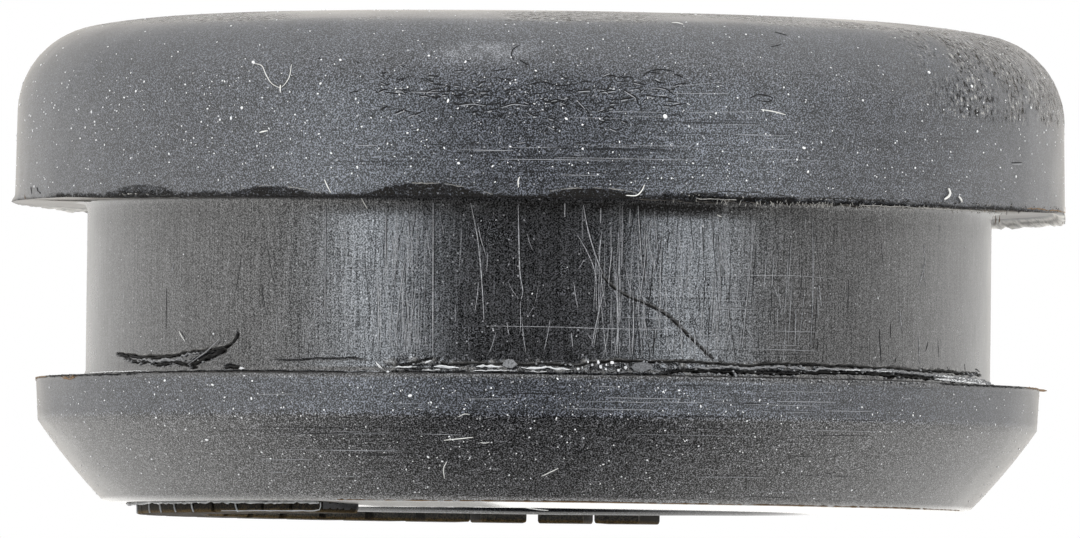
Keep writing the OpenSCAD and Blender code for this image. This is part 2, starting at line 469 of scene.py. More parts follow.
class Surface:
    """The ring's points while they are shaped: radius r, height z and the plain form's normal n,
    how dark each is made, mostly by painted shade, how pale it is, and how far it is pushed out along its
    normal."""

    def __init__(self, phi, t):
        self.phi, self.t = phi, t
        self.deg = np.degrees(phi)
        self.r, self.z, self.n = RING.raw(t)
        self.darkness, self.pale, self.push = np.zeros((3, len(phi)))
        self.plain = self.points()
        self.torn = rough(self.plain, 0.25, 3, 11)
        self.jag = rough(self.plain, 0.35, 3, 21)
        self.rim, self.under = self.on("rim"), self.on("underside")
        self.neck, self.head = self.on("root", "neck"), self.on("wall", "corner", "crown")
        self.edge = np.minimum(HEAD_R, trim_limit(phi, np.full(len(phi), HEAD_Z)))

    def on(self, *names):
        return RING.on(self.t, *names)

    def points(self):
        return np.stack([self.r * np.sin(self.phi), -self.r * np.cos(self.phi), self.z], 1)

    # Darkens by a share, mostly as painted shade
    def darken(self, share):
        self.darkness = np.maximum(self.darkness, share)

    def whiten(self, share):
        self.pale = np.maximum(self.pale, share)

    def cut_rim(self):
        """Cuts the wall back to the knife cuts, and draws the underside in with it."""
        limit = trim_limit(self.phi, self.z)
        wall = self.on("rim", "wall")
        cut = wall & (self.r > limit)
        self.r = np.where(wall, np.minimum(self.r, limit + 0.04 * self.torn), self.r)
        drawn_in = UNDER_R + (self.r - UNDER_R) * (self.edge - UNDER_R) / (HEAD_R - UNDER_R)
        self.r = np.where(self.under, drawn_in, self.r)
        # The cut faces are darkened, most toward the front
        darkening = np.interp(self.deg, [-72, -60, -50, -34, -24], [0.1, 0.32, 0.5, 0.74, 0.95])
        self.darkness[cut] = (darkening + 0.3 * self.torn)[cut]

    def hang_rim(self):
        """Lets the rim's lower edge hang a little at the front, and paints shade on its underside and
        along its lower edge.
        """
        front = bump(self.deg, -52, 70, 14)
        out = np.clip((self.r - UNDER_R) / (self.edge - UNDER_R), 0, 1) * (self.under | self.rim)
        out = out * (1 - smooth(self.z, HEAD_Z, HEAD_Z + 0.35))
        self.z = self.z - RIM_HANG * front * out
        # Painted shade on the underside at the front
        self.darken(self.under * front * 0.9)
        # A band of painted shade along the rim's lower edge, frayed on the left
        fray = 0.07 * bump(self.deg, -64, -38, 6) * (1 + 1.5 * self.torn)
        low = HEAD_Z - 0.04 + 0.05 * self.torn + fray
        high = HEAD_Z + 0.06 + 0.05 * self.torn + fray
        band = self.rim * (1 - smooth(self.z, low, high))
        self.darken(band * bump(self.deg, -84, 88, 8) * 0.95)

    def tear_flash(self):
        """Tears the flash on the right half of the front rim, which hangs below the underside."""
        hang = np.maximum(bump(self.deg, 17, 44, 9), bump(self.deg, 44, 66, 6) * 0.35)
        foot = self.under & (self.r > 17.0)
        low = foot | (self.rim & (self.z < HEAD_Z + 0.01))
        drop = smooth(self.r, 17.0, 17.5) * hang * (0.05 + 0.13 * self.jag)
        self.z = np.where(low, self.z - drop, self.z)
        crumb = self.rim & (hang > 0.02)
        top = np.interp(self.deg, [12, 20, 40, 60], [0.12, 0.1, 0.03, -0.04])
        depth = hang * smooth(HEAD_Z + top + 0.07 * self.jag - self.z, 0, 0.1)
        self.r = np.where(crumb, self.r - depth * (0.13 + 0.16 * self.torn), self.r)
        # The torn band and the hanging foot are darkened: torn rubber, with painted shade in the recess
        # and under the rim
        dark = np.maximum(crumb * smooth(depth, 0.1, 0.6), foot * hang)
        self.darken(dark * (0.9 + 0.2 * self.torn))

    def side_flash(self):
        """Leaves the parting flash and its hanging sheets at both sides of the rim."""
        band = self.rim | self.under
        side = bump(np.abs(self.deg), 84, 98, 6) * band
        tip = smooth(self.r, 17.5, 17.9) * (1 - smooth(self.z, HEAD_Z + 0.02, HEAD_Z + 0.25))
        self.r = self.r + side * tip * np.where(self.deg > 0, 0.02, 0.1) * (1 + 0.5 * self.jag)
        ways = [-155, -122, -110, -93, 84, 90, 124, 140]
        sheet = np.interp(self.deg, ways, [0, 0.17, 0.07, 0, 0, 0.3, 0.3, 0])
        tip = tip * band
        teeth = rough(self.plain, 0.22, 2, 27)
        ragged = 1 + 0.25 * self.jag + np.where(self.deg < 0, 1.3, 0.3) * teeth
        self.z = self.z - sheet * tip * ragged
        # The hanging sheets are whitened: pale skin, made near white as painted reflection of the bright
        # room
        self.whiten(smooth(sheet, 0.02, 0.1) * smooth(tip, 0.05, 0.3))
        right = (self.deg > 0) * smooth(sheet, 0.05, 0.2)
        self.darken(right * bump(tip, 0.5, 0.62, 0.08) * 0.5)

    def crack_neck(self):
        """Sinks the grooves into the neck, with painted shade in them and pale ridges beside them."""
        flat = np.stack([self.phi * NECK_R, self.z], 1)
        wander = np.stack([rough(self.plain, 0.3, 3, 31), rough(self.plain, 0.3, 3, 41)], 1)
        for g in GROOVES:
            dist, power, above = g.near(flat + g.ragged * wander)
            half = g.width / 2 * (0.75 + 0.5 * np.abs(wander[:, 0]))
            inside = np.clip(1 - dist / half, 0, 1)
            self.push = np.minimum(self.push, -g.depth * power * inside**0.6 * self.neck)
            # Painted shade in the grooves
            self.darken(power * smooth(inside, 0.05, 0.5) * self.neck)
            if g.lift:
                ridge = bump(dist, half, half * 1.35, 0.03) * power * self.neck
                raised = self.push + g.lift * ridge * (self.push > -0.01)
                self.push = np.maximum(self.push, raised)
                self.whiten(ridge * 0.2 * (above > 0))

    def shadow_under_head(self):
        """Paints the shadow that the head casts on a band of the neck below it."""
        ways = [-90, -50, -20, 5, 16, 40, 60, 90]
        low = HEAD_Z - np.interp(self.deg, ways, [0.05, 0.08, 0.12, 0.2, 0.25, 0.14, 0.04, 0.03])
        self.darken(self.neck * smooth(self.z, low - 0.12 + 0.1 * self.torn, low + 0.1 * self.torn))

    def loosen_skin(self):
        """Makes the skin between the two cracks over the lip loose and lumpy."""
        skin = bump(self.deg, -18, 66, 3) * bump(self.z, LIP_Z + 0.1, LIP_Z + 0.5, 0.08) * self.neck
        lump = rough(self.plain, 0.22, 3, 51)
        self.push = self.push + skin * 0.07 * lump * (self.push > -0.05)
        # Painted highlight on the lumps and painted shade in the hollows between them
        self.whiten(skin * smooth(lump, 0.15, 0.6) * 0.2)
        self.darken(skin * smooth(-lump, 0.25, 0.6) * 0.7)

    def sharp(self):
        """How strongly the fine grain shows: most at the front, least on the crown."""
        ways = [-84, -66, -40, -16, 16, 40, 66, 84]
        out = np.interp(self.deg, ways, [0.42, 0.52, 0.78, 1, 1, 0.76, 0.4, 0.34])
        out = out * (1 - 0.4 * smooth(self.z, 14, 16))
        return np.where(self.on("nose", "face"), out**0.6, out)

    def lined(self):
        """How strongly the turning lines of the mould show."""
        deg, z = self.deg, self.z
        neck = 0.6 * bump(deg, 13, 34, 5) * bump(z, 5, 8.4, 0.4) + 0.12
        wall = 0.15 + 0.6 * bump(z, 11, 13.2, 0.6) * bump(deg, -12, 50, 10)
        nose = 0.3 + 0.4 * bump(deg, -50, 10, 20)
        nose = nose + 0.7 * self.on("land") * bump(deg, 12, 26, 5)
        low = np.where(self.on("face", "nose", "land"), nose, wall)
        return np.clip(np.where(self.on("neck"), neck, low), 0, 1)

    def shaped(self):
        """The points in mm after all shaping, and the layers that the rubber's shader reads."""
        self.cut_rim()
        self.hang_rim()
        self.tear_flash()
        self.side_flash()
        self.crack_neck()
        self.shadow_under_head()
        self.loosen_skin()
        # The end face is rougher and darker beside the narrow marks
        face_dimming = bump(self.deg, -31, -9, 5) * (1 - smooth(self.r, 14.3, 14.6)) * self.on("face")
        self.darken(0.5 * face_dimming)
        # The whole surface waves a little, and the head's right shoulder is crumbled
        self.push = self.push + 0.012 * rough(self.plain * [1, 1, 0.6], 4.0, 3, 61)
        shoulder = bump(self.deg, 56, 98, 14) * bump(self.z, 13.8, 16.4, 0.5) * self.head
        self.push = self.push + 0.035 * shoulder * rough(self.plain, 0.6, 3, 71)
        top_edge = bump(self.z, 16.62, 16.97, 0.12) * bump(self.deg, -72, 80, 8) * self.head
        top_edge = top_edge * smooth(rough(self.plain, 3, 2, 101), -0.2, 0.3)
        chipped = shoulder * smooth(rough(self.plain, 1.1, 2, 91), -0.6, 0.0)
        self.r = self.r + self.push * self.n[:, 0]
        self.z = self.z + self.push * self.n[:, 1]
        return self.points(), {
            # How dark each place is made, mostly by painted shade
            "torn": np.clip(self.darkness, 0, 1),
            "pale": np.clip(self.pale, 0, 1),
            "neck": self.on("shelf", "root", "neck", "root_top") * 1.0,
            "nose": self.on("face", "nose") * 1.0,
            "sharp": self.sharp(),
            "lined": self.lined(),
            "polish": self.on("face", "mouth") * (1 - 0.6 * face_dimming),
            # The patch of painted highlight on the crown
            "crown_highlight": bump(self.deg, -9, -4, 4) * bump(self.z, 15.35, 15.6, 0.3) * self.head,
            "crumbled": np.clip(chipped + top_edge, 0, 1),
        }


def add(name, me):
    """An object for a mesh, which rides on the root body."""
    ob = bpy.data.objects.new(name, me)
    bpy.context.scene.collection.objects.link(ob)
    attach(ob, "root")
    return ob


def grid_faces(rows, cols):
    """The faces of a grid of points that are counted row by row."""
    i, j = np.meshgrid(np.arange(rows - 1), np.arange(cols - 1), indexing="ij")
    a = (i * cols + j).ravel()
    return np.stack([a, a + 1, a + cols + 1, a + cols], 1)


def ring_mesh(name):
    """The ring, made flat in (angle, row) space, halved where it has fine forms, then bent round."""
    phi, rows = angles(), len(RING.pts)
    u, v = np.meshgrid(phi, np.arange(rows, dtype=float))
    me = bpy.data.meshes.new(name)
    verts = np.stack([u.ravel(), v.ravel(), np.zeros(u.size)], 1)
    me.from_pydata(verts.tolist(), [], grid_faces(rows, len(phi)).tolist())
    bm = bmesh.new()
    bm.from_mesh(me)
    for depth in range(1, MOST_HALVINGS + 1):
        faces = list(bm.faces)
        mid = np.array([f.calc_center_median()[:2] for f in faces])
        todo = RING.level(mid[:, 0], mid[:, 1], depth)
        edges = {e for f, k in zip(faces, todo) if k for e in f.edges}
        if edges:
            bmesh.ops.subdivide_edges(bm, edges=list(edges), cuts=1, use_grid_fill=True)
    flat = np.array([v.co[:2] for v in bm.verts])
    co, layers = Surface(flat[:, 0], flat[:, 1]).shaped()
    for layer, values in layers.items():
        key = bm.verts.layers.float.new(layer)
        for v, x in zip(bm.verts, values):
            v[key] = x
    for v, p in zip(bm.verts, co * MM):
        v.co = p
    bmesh.ops.remove_doubles(bm, verts=bm.verts, dist=1e-7)
    bmesh.ops.dissolve_degenerate(bm, dist=1e-7, edges=bm.edges)
    bmesh.ops.recalc_face_normals(bm, faces=bm.faces)
    for f in bm.faces:
        f.smooth = True
    bm.to_mesh(me)
    bm.free()
    return add(name, me)


# ---------------------------------------------------------------- small closed pieces
def outside(first, last):
    """The section's points from one stretch to another, which go up the outside."""
    return RING.pts[RING.start[first][0] : RING.start[last][1] + 1]


LOW_SIDE, HIGH_SIDE = outside("nose", "land"), outside("rim", "crown")
SLOPE_STEP = 0.02


def radius_at(z):
    """The plain ring's outside radius and its slope (radius lost per height) at a height."""
    if LIP_Z < z < HEAD_Z:
        return NECK_R, 0.0
    p = LOW_SIDE if z <= LIP_Z else HIGH_SIDE
    r = float(np.interp(z, p[:, 1], p[:, 0]))
    above = float(np.interp(z + SLOPE_STEP, p[:, 1], p[:, 0]))
    return r, (r - above) / SLOPE_STEP


def polar(deg, z, r):
    """The point at an angle from the front, a height and a radius."""
    a = math.radians(deg)
    return Vector((r * math.sin(a), -r * math.cos(a), z))


def at(deg, z, lift=0.0):
    """A point lifted off the ring's outside, in mm."""
    r, slope = radius_at(z)
    c = 1 / math.sqrt(1 + slope * slope)
    return polar(deg, z + lift * slope * c, r + lift * c)


def normal_at(deg, z):
    """The ring's outward normal at an angle and a height."""
    return polar(deg, radius_at(z)[1], 1).normalized()


def directions(co):
    """The way that a line of points goes at each of them."""
    last = len(co) - 1
    return [(co[min(i + 1, last)] - co[max(i - 1, 0)]).normalized() for i in range(len(co))]


def finish_mesh(name, bm, material, smooth_shade=True):
    """A scene object from a bmesh in mm."""
    bmesh.ops.scale(bm, vec=(MM, MM, MM), verts=bm.verts)
    bmesh.ops.recalc_face_normals(bm, faces=bm.faces)
    for f in bm.faces:
        f.smooth = smooth_shade
    me = bpy.data.meshes.new(name)
    bm.to_mesh(me)
    bm.free()
    me.materials.append(material)
    ob = add(name, me)
    return ob


def sweep(bm, centres, ups, outs, sides=6):
    """A closed strip: at each centre an ellipse whose half axes are the up and out vectors."""
    rings = []
    for c, u, o in zip(centres, ups, outs):
        ring = []
        for k in range(sides):
            a = 2 * math.pi * k / sides
            ring.append(bm.verts.new(c + u * math.cos(a) + o * math.sin(a)))
        rings.append(ring)
    for a, b in zip(rings, rings[1:]):
        for k in range(sides):
            bm.faces.new((a[k], a[(k + 1) % sides], b[(k + 1) % sides], b[k]))
    bm.faces.new(rings[0][::-1])
    bm.faces.new(rings[-1])


def ribbon(bm, rng, points, half, depth=0.03, lift=0.03, wander=0.02, step=0.06, ends=0.25):
    """A ragged thin skin along a path of (degrees, height), standing on edge off the surface."""
    path = curve(points, step)
    n = len(path)
    fade = max(1, n * ends)
    centres, ups, outs = [], [], []
    wave = rng.normal(0, 1, (n, 3))
    wave = (wave + np.roll(wave, 1, 0)) / 1.5
    for i, (deg, z) in enumerate(path):
        end = max(min(1, i / fade, (n - 1 - i) / fade) ** 0.5, 0.12)
        h = half * end * (1 + 0.3 * wave[i, 0])
        out = normal_at(deg, z)
        up = Vector((0, 0, 1))
        centres.append(at(deg, z + wander * wave[i, 1], lift + 0.3 * depth * wave[i, 2]))
        ups.append((up + out * 0.35 * wave[i, 0]).normalized() * max(h, 0.008))
        outs.append(out * depth * end)
    sweep(bm, centres, ups, outs)


def strip(bm, rng, places, half, deep):
    """A closed ragged strip along (degrees, height, radius) places, wherever they are."""
    co = [polar(*q) for q in places]
    outs = [polar(q[0], 0, 1) for q in places]
    wide = half * (0.75 + 0.5 * rng.uniform(size=len(co)))
    ups = [way.cross(out).normalized() * w for way, out, w in zip(directions(co), outs, wide)]
    sweep(bm, co, ups, [out * deep for out in outs], 5)


def fibre(bm, points, width, lift=0.06, arch=0.0, sides=5, step=0.07):
    """A hair that lies on the surface along (degrees, height) points, arched off it in the middle."""
    path = curve(points, step)
    n = len(path)
    rises = [lift + arch * math.sin(math.pi * i / max(1, n - 1)) for i in range(n)]
    co = [at(d, z, rise) for (d, z), rise in zip(path, rises)]
    ups, outs = [], []
    for i, way in enumerate(directions(co)):
        up = way.cross(normal_at(*path[i])).normalized()
        w = width * (0.55 + 0.45 * math.sin(math.pi * (i + 0.5) / n))
        ups.append(up * w)
        outs.append(up.cross(way).normalized() * w)
    sweep(bm, co, ups, outs, sides)


def plate(bm, outline, lift, thick, tilt=(0.0, 0.0), centre=None):
    """A flat flake: an outline of (degrees, height) and how far it stands off the surface."""
    cd, cz = centre or np.mean(outline, 0)
    front, back = [], []
    for d, z in outline:
        rise = lift + tilt[0] * (d - cd) + tilt[1] * (z - cz)
        front.append(bm.verts.new(at(d, z, rise)))
        back.append(bm.verts.new(at(d, z, rise - thick)))
    n = len(outline)
    bm.faces.new(front)
    bm.faces.new(back[::-1])
    for k in range(n):
        bm.faces.new((front[k], back[k], back[(k + 1) % n], front[(k + 1) % n]))


def flake(bm, rng, deg, z, w, h, lift, thick):
    """A small ragged flake round a place, w wide and h high in mm."""
    n = int(rng.integers(5, 8))
    r, _ = radius_at(z)
    start = rng.uniform(0, 2 * math.pi)
    outline = []
    for k in range(n):
        a = start + 2 * math.pi * k / n
        s = rng.uniform(0.65, 1.2)
        aside = math.degrees(w / 2 * s * math.cos(a) / r)
        outline.append((deg + aside, z + h / 2 * s * math.sin(a)))
    tilt = (rng.normal(0, 0.02), rng.normal(0, 0.3))
    plate(bm, outline, lift, thick, tilt, (deg, z))


def speck(bm, rng, deg, z, size):
    """A grain of dust on the ring's outside."""
    grain_on(bm, rng, at(deg, z), normal_at(deg, z), size)


def grain_on(bm, rng, place, out, size):
    """A grain of dust: a flattened ball of 20 faces, size across in mm, on a surface."""
    side = Vector((0, 0, 1)).cross(out)
    side = side.normalized() if side.length > 1e-4 else Vector((1, 0, 0))
    up = out.cross(side)
    spin = rng.uniform(0, math.pi)
    a = side * math.cos(spin) + up * math.sin(spin)
    b = out.cross(a)
    half = size / 2
    long, short = half * rng.uniform(0.8, 1.5), half * rng.uniform(0.7, 1.0)
    m = Matrix((a * long, b * short, out * (half * 0.55))).transposed().to_4x4()
    m.translation = place + out * size * 0.12
    bmesh.ops.create_icosphere(bm, subdivisions=1, radius=1.0, matrix=m)


# ---------------------------------------------------------------- the raised marks
def bar(bm, start, span):
    """One mark from an angle on, in CAD degrees, sunk into the face; its lower edges are rounded."""
    outer, inner, high, e = MARK_RING_R, MARK_RING_R - MARK_W, MARK_H + MARK_SUNK, MARK_EDGE
    outline = [(outer, high), (inner, high), (inner, e), (inner + e * 0.3, e * 0.3), (inner + e, 0)]
    outline += [(outer - e, 0), (outer - e * 0.3, e * 0.3), (outer, e)]
    n = len(outline)
    cut = math.degrees(e / outer)
    stops = [0, cut * 0.3, cut] + list(np.linspace(0, span, 9)[1:-1])
    stops += [span - cut, span - cut * 0.3, span]
    rows = []
    for s in stops:
        gone = max(0, 1 - min(s, span - s) / cut)
        rise = e * (1 - math.sqrt(max(0, 1 - gone * gone)))
        a = math.radians(start + s)
        heights = [min(z + rise, high) for _, z in outline]
        flat = [(r * math.cos(a), r * math.sin(a)) for r, _ in outline]
        rows.append([bm.verts.new((x, y, z)) for (x, y), z in zip(flat, heights)])
    for p, q in zip(rows, rows[1:]):
        for k in range(n):
            bm.faces.new((p[k], q[k], q[(k + 1) % n], p[(k + 1) % n]))
    bm.faces.new(rows[0][::-1])
    bm.faces.new(rows[-1])


def raised_marks(material):
    """The bars on the end face."""
    bm = bmesh.new()
    for i in range(BROAD_MARKS):
        bar(bm, BROAD_START + i * BROAD_PITCH, BROAD_PITCH - BROAD_GAP)
    for i in range(NARROW_MARKS):
        bar(bm, NARROW_START + i * NARROW_PITCH, NARROW_PITCH - NARROW_GAP)
    return finish_mesh("raised_marks", bm, material, smooth_shade=False)


def mark_flash(material):
    """Thin pale flash at the root of the narrow marks and in some of the gaps between them."""
    rng = np.random.default_rng(3)
    bm = bmesh.new()
    edge = MARK_RING_R + 0.012
    for k in (1, 3, 4, 5, 6, 8):
        deg = NARROW_FIRST + k * NARROW_PITCH - NARROW_GAP / 2
        gap = [(deg + 0.6 * t * t - 0.2, 0.36 - 0.34 * t, edge) for t in np.linspace(0, 1, 6)]
        strip(bm, rng, gap, 0.024, 0.03)
    root = []
    for d in np.arange(-88.5, -31.5, 0.5):
        root.append((d, 0.345 + rng.normal(0, 0.018), 13.95 + rng.normal(0, 0.05)))
    strip(bm, rng, root, 0.045, 0.08)
    hook = []
    for beyond, z in ((0.15, 0.34), (0.2, 0.2), (0, 0.09), (-0.8, 0.055)):
        hook.append((NARROW_LAST + beyond, z, edge))
    for d in np.arange(NARROW_LAST - 1.8, NARROW_LAST - 19, -1.0):
        hook.append((d, 0.05 + rng.normal(0, 0.004), edge))
    strip(bm, rng, hook, 0.02, 0.015)
    return finish_mesh("mark_flash", bm, material, smooth_shade=False)


# ---------------------------------------------------------------- flash, burrs and tears
def lip_flash(material):
    """Light skin that stands in the corner between the neck and the lip; its near-white colour paints the
    glints on its torn edges.
    """
    rng = np.random.default_rng(5)
    bm = bmesh.new()
    for points, half in (
        ([(-7.7, 4.93), (-6.1, 4.94), (-4.4, 4.92)], 0.045),
        ([(-2.1, 4.91), (-0.8, 4.87), (1.1, 4.93), (2.1, 4.88), (4.0, 4.86)], 0.042),
        ([(-13.0, 4.92), (-11.4, 4.9), (-9.8, 4.88)], 0.04),
        ([(-18.6, 4.86), (-17.6, 4.89), (-16.3, 4.88), (-15.2, 4.91)], 0.03),
        ([(-14.2, 5.0), (-13.8, 5.06), (-13.3, 5.1)], 0.035),
        ([(-8.4, 4.79), (-6.4, 4.79), (-4.7, 4.8), (-2.8, 4.79)], 0.02),
        ([(-14.5, 4.79), (-12.2, 4.8)], 0.02),
        ([(-1.1, 4.77), (1.1, 4.78)], 0.02),
        ([(-20.6, 5.06), (-20.2, 4.94), (-19.7, 4.83)], 0.05),
        ([(-40.5, 4.82), (-40, 4.83), (-39.6, 4.82)], 0.05),
        ([(57, 4.97), (61, 4.93), (66, 4.9), (72, 4.85), (79, 4.83)], 0.035),
        ([(60, 4.82), (66, 4.79), (72, 4.76), (82, 4.74)], 0.05),
        ([(40, 5.0), (44, 5.03), (48, 5.02), (52, 5.0)], 0.02),
        ([(-82, 4.77), (-70, 4.77), (-58, 4.78)], 0.018),
    ):
        ribbon(bm, rng, points, half, depth=0.035, lift=0.05, wander=0.008)
    for deg, z, w, h in (
        (7.5, 5.11, 0.09, 0.14),
        (6.7, 5.02, 0.08, 0.1),
        (7.8, 4.96, 0.1, 0.12),
        (9.2, 5.1, 0.13, 0.13),
        (8.4, 4.88, 0.08, 0.08),
        (5.5, 4.93, 0.06, 0.08),
        (10.9, 4.95, 0.13, 0.12),
        (10.0, 4.86, 0.09, 0.09),
        (5.0, 4.88, 0.1, 0.07),
        (-18.9, 4.72, 0.09, 0.09),
        (6.2, 5.13, 0.05, 0.12),
        (8.5, 5.03, 0.06, 0.07),
    ):
        flake(bm, rng, deg, z, w, h, 0.1, 0.12)
    return finish_mesh("lip_flash_bright", bm, material, smooth_shade=False)


def lip_skin(material):
    """Grey skin in the same corner: the long ribbon on the right, the two grey flakes, crumbs."""
    rng = np.random.default_rng(8)
    bm = bmesh.new()
    long = [(19.1, 4.99), (22.3, 4.99), (24.8, 5.02), (27.3, 4.99), (29.5, 5.04), (32.4, 5.06)]
    long += [(34.7, 5.02), (36.7, 4.97), (38.4, 5.05), (40.8, 5.03), (43.9, 5.04), (47.8, 5.04)]
    long += [(49.5, 5.06), (52, 5.02), (56.6, 4.97), (61.1, 4.94), (66.7, 4.9), (74.2, 4.86), (80.4, 4.86)]
    ribbon(bm, rng, long, 0.045, depth=0.05, lift=0.04, wander=0.012, ends=0.05)
    low = [(60, 4.86), (66, 4.83), (72, 4.8), (80, 4.79), (86, 4.8)]
    ribbon(bm, rng, low, 0.06, depth=0.06, lift=0.03, ends=0.2)
    for deg in rng.uniform(-18, 76, 150):
        z = rng.choice([4.78, 4.95, 5.08]) + rng.normal(0, 0.05)
        w = rng.uniform(0.03, 0.1)
        flake(bm, rng, deg, max(4.7, z), w, w * rng.uniform(0.5, 1.1), rng.uniform(0.02, 0.07), 0.1)
    # A row of crumbs along the lip's edge
    for deg in rng.uniform(13, 50, 90):
        w = rng.uniform(0.03, 0.09)
        flake(bm, rng, deg, 4.64 - abs(rng.normal(0, 0.03)), w, w * 0.7, 0.035, 0.06)
    # The bloom on the end of the last narrow mark
    bloom = [(NARROW_LAST + 0.12, 0.24, r) for r in np.arange(11.32, 13.7, 0.17)]
    strip(bm, rng, bloom, 0.12, 0.012)
    # The tear's flap and its thread
    thread = [(-49.6, 4.97), (-48, 5.13), (-46.3, 5.33), (-45.4, 5.48), (-44.6, 5.66), (-43.8, 5.84)]
    fibre(bm, thread, 0.022, lift=0.05, arch=0.1)
    flap = [(-61, 5.17), (-57, 5.1), (-53, 5.14), (-50, 5.12), (-48.4, 5.22)]
    ribbon(bm, rng, flap, 0.05, depth=0.05, lift=0.0)
    ribbon(bm, rng, [(-52, 5.24), (-49, 5.32), (-47, 5.38)], 0.03, depth=0.04, lift=0.01)
    for deg in rng.uniform(-66, -44, 26):
        z = np.interp(deg, [-66, -57, -50, -44], [5.2, 5.0, 4.95, 5.2]) + rng.normal(0, 0.05)
        w = rng.uniform(0.03, 0.1)
        flake(bm, rng, deg, z, w, w * 0.7, 0.03, 0.08)
    return finish_mesh("lip_flash_grey", bm, material, smooth_shade=False)


def lip_plates(material):
    """Two loose flakes of skin over the lip."""
    bm = bmesh.new()
    left = [(-4.4, 4.98), (-4.2, 5.12), (-3.7, 5.19), (-3.1, 5.17), (-2.5, 5.0), (-3.2, 4.88), (-3.9, 4.9)]
    right = [(11.6, 4.97), (12.1, 5.09), (12.9, 5.14), (13.8, 5.1), (14.4, 4.98), (13.7, 4.86)]
    right += [(12.8, 4.82), (12.0, 4.86)]
    plate(bm, left, 0.1, 0.15, (0.03, 0.2))
    plate(bm, right, 0.12, 0.17, (0.0, 0.5))
    return finish_mesh("lip_plates", bm, material, smooth_shade=False)


# Grooves narrower than this have no dark threads along them
LEAST_EDGED = 0.05


def torn_edges_and_shade(material):
    """Dark threads along the rim's and the lip's edges, short cuts beside them, threads in the neck's
    grooves and flakes under the rim: painted shade in the grooves and along the rim's lower edge.
    """
    rng = np.random.default_rng(17)
    bm = bmesh.new()
    right = [(40, 10.6), (46, 10.62), (52, 10.58), (57, 10.6), (63, 10.62), (67, 10.62)]
    right += [(78, 10.61), (86, 10.62)]
    for points, half in (
        ([(-74, 10.61), (-68, 10.6), (-60, 10.58), (-50, 10.57)], 0.03),
        ([(18, 10.78), (20, 10.86), (23, 10.86), (26, 10.8), (28, 10.77)], 0.014),
        ([(16, 10.76), (18, 10.78), (20, 10.77)], 0.012),
        ([(31, 10.73), (36, 10.72), (40, 10.7)], 0.012),
        (right, 0.035),
        ([(-78, 4.63), (-66, 4.63), (-52, 4.64)], 0.016),
        ([(52, 4.63), (64, 4.62), (76, 4.62)], 0.02),
        ([(-74.6, 11.1), (-74.4, 10.95), (-74.2, 10.8)], 0.022),
        ([(-72.2, 11.02), (-71.7, 10.9), (-70.6, 10.8)], 0.035),
        ([(51.6, 5.5), (51.2, 5.33)], 0.018),
        ([(69.4, 5.42), (69.6, 5.3), (69.8, 5.15)], 0.018),
        ([(74.1, 5.24), (75.5, 5.2), (76.8, 5.12)], 0.02),
        ([(63.8, 5.26), (64, 5.18)], 0.02),
        ([(62.9, 10.8), (62.6, 10.66)], 0.05),
    ):
        ribbon(bm, rng, points, half, depth=0.022, lift=0.0, wander=0.012, ends=0.12)
    # Threads of painted shade that fill the grooves
    for g in GROOVES:
        if g.width < LEAST_EDGED:
            continue
        step = max(1, len(g.line) // max(3, int(np.ptp(g.line[:, 0]) / 1.2)))
        half, wander = 0.2 * g.width + 0.004, 0.3 * g.ragged
        ribbon(bm, rng, g.line[::step], half, depth=0.015, lift=-0.005, wander=wander, ends=0.2)
    # Dark flakes of painted shade along the rim's lower edge
    for lo, hi, count in ((40, 88, 80), (-66, -40, 60), (14, 44, 110)):
        for deg in rng.uniform(lo, hi, count):
            z = 10.66 + abs(rng.normal(0, 0.07))
            w = rng.uniform(0.03, 0.09)
            flake(bm, rng, deg, z, w, w * rng.uniform(0.5, 1.0), 0.008, 0.05)
    return finish_mesh("torn_edges_and_shade", bm, material, smooth_shade=False)


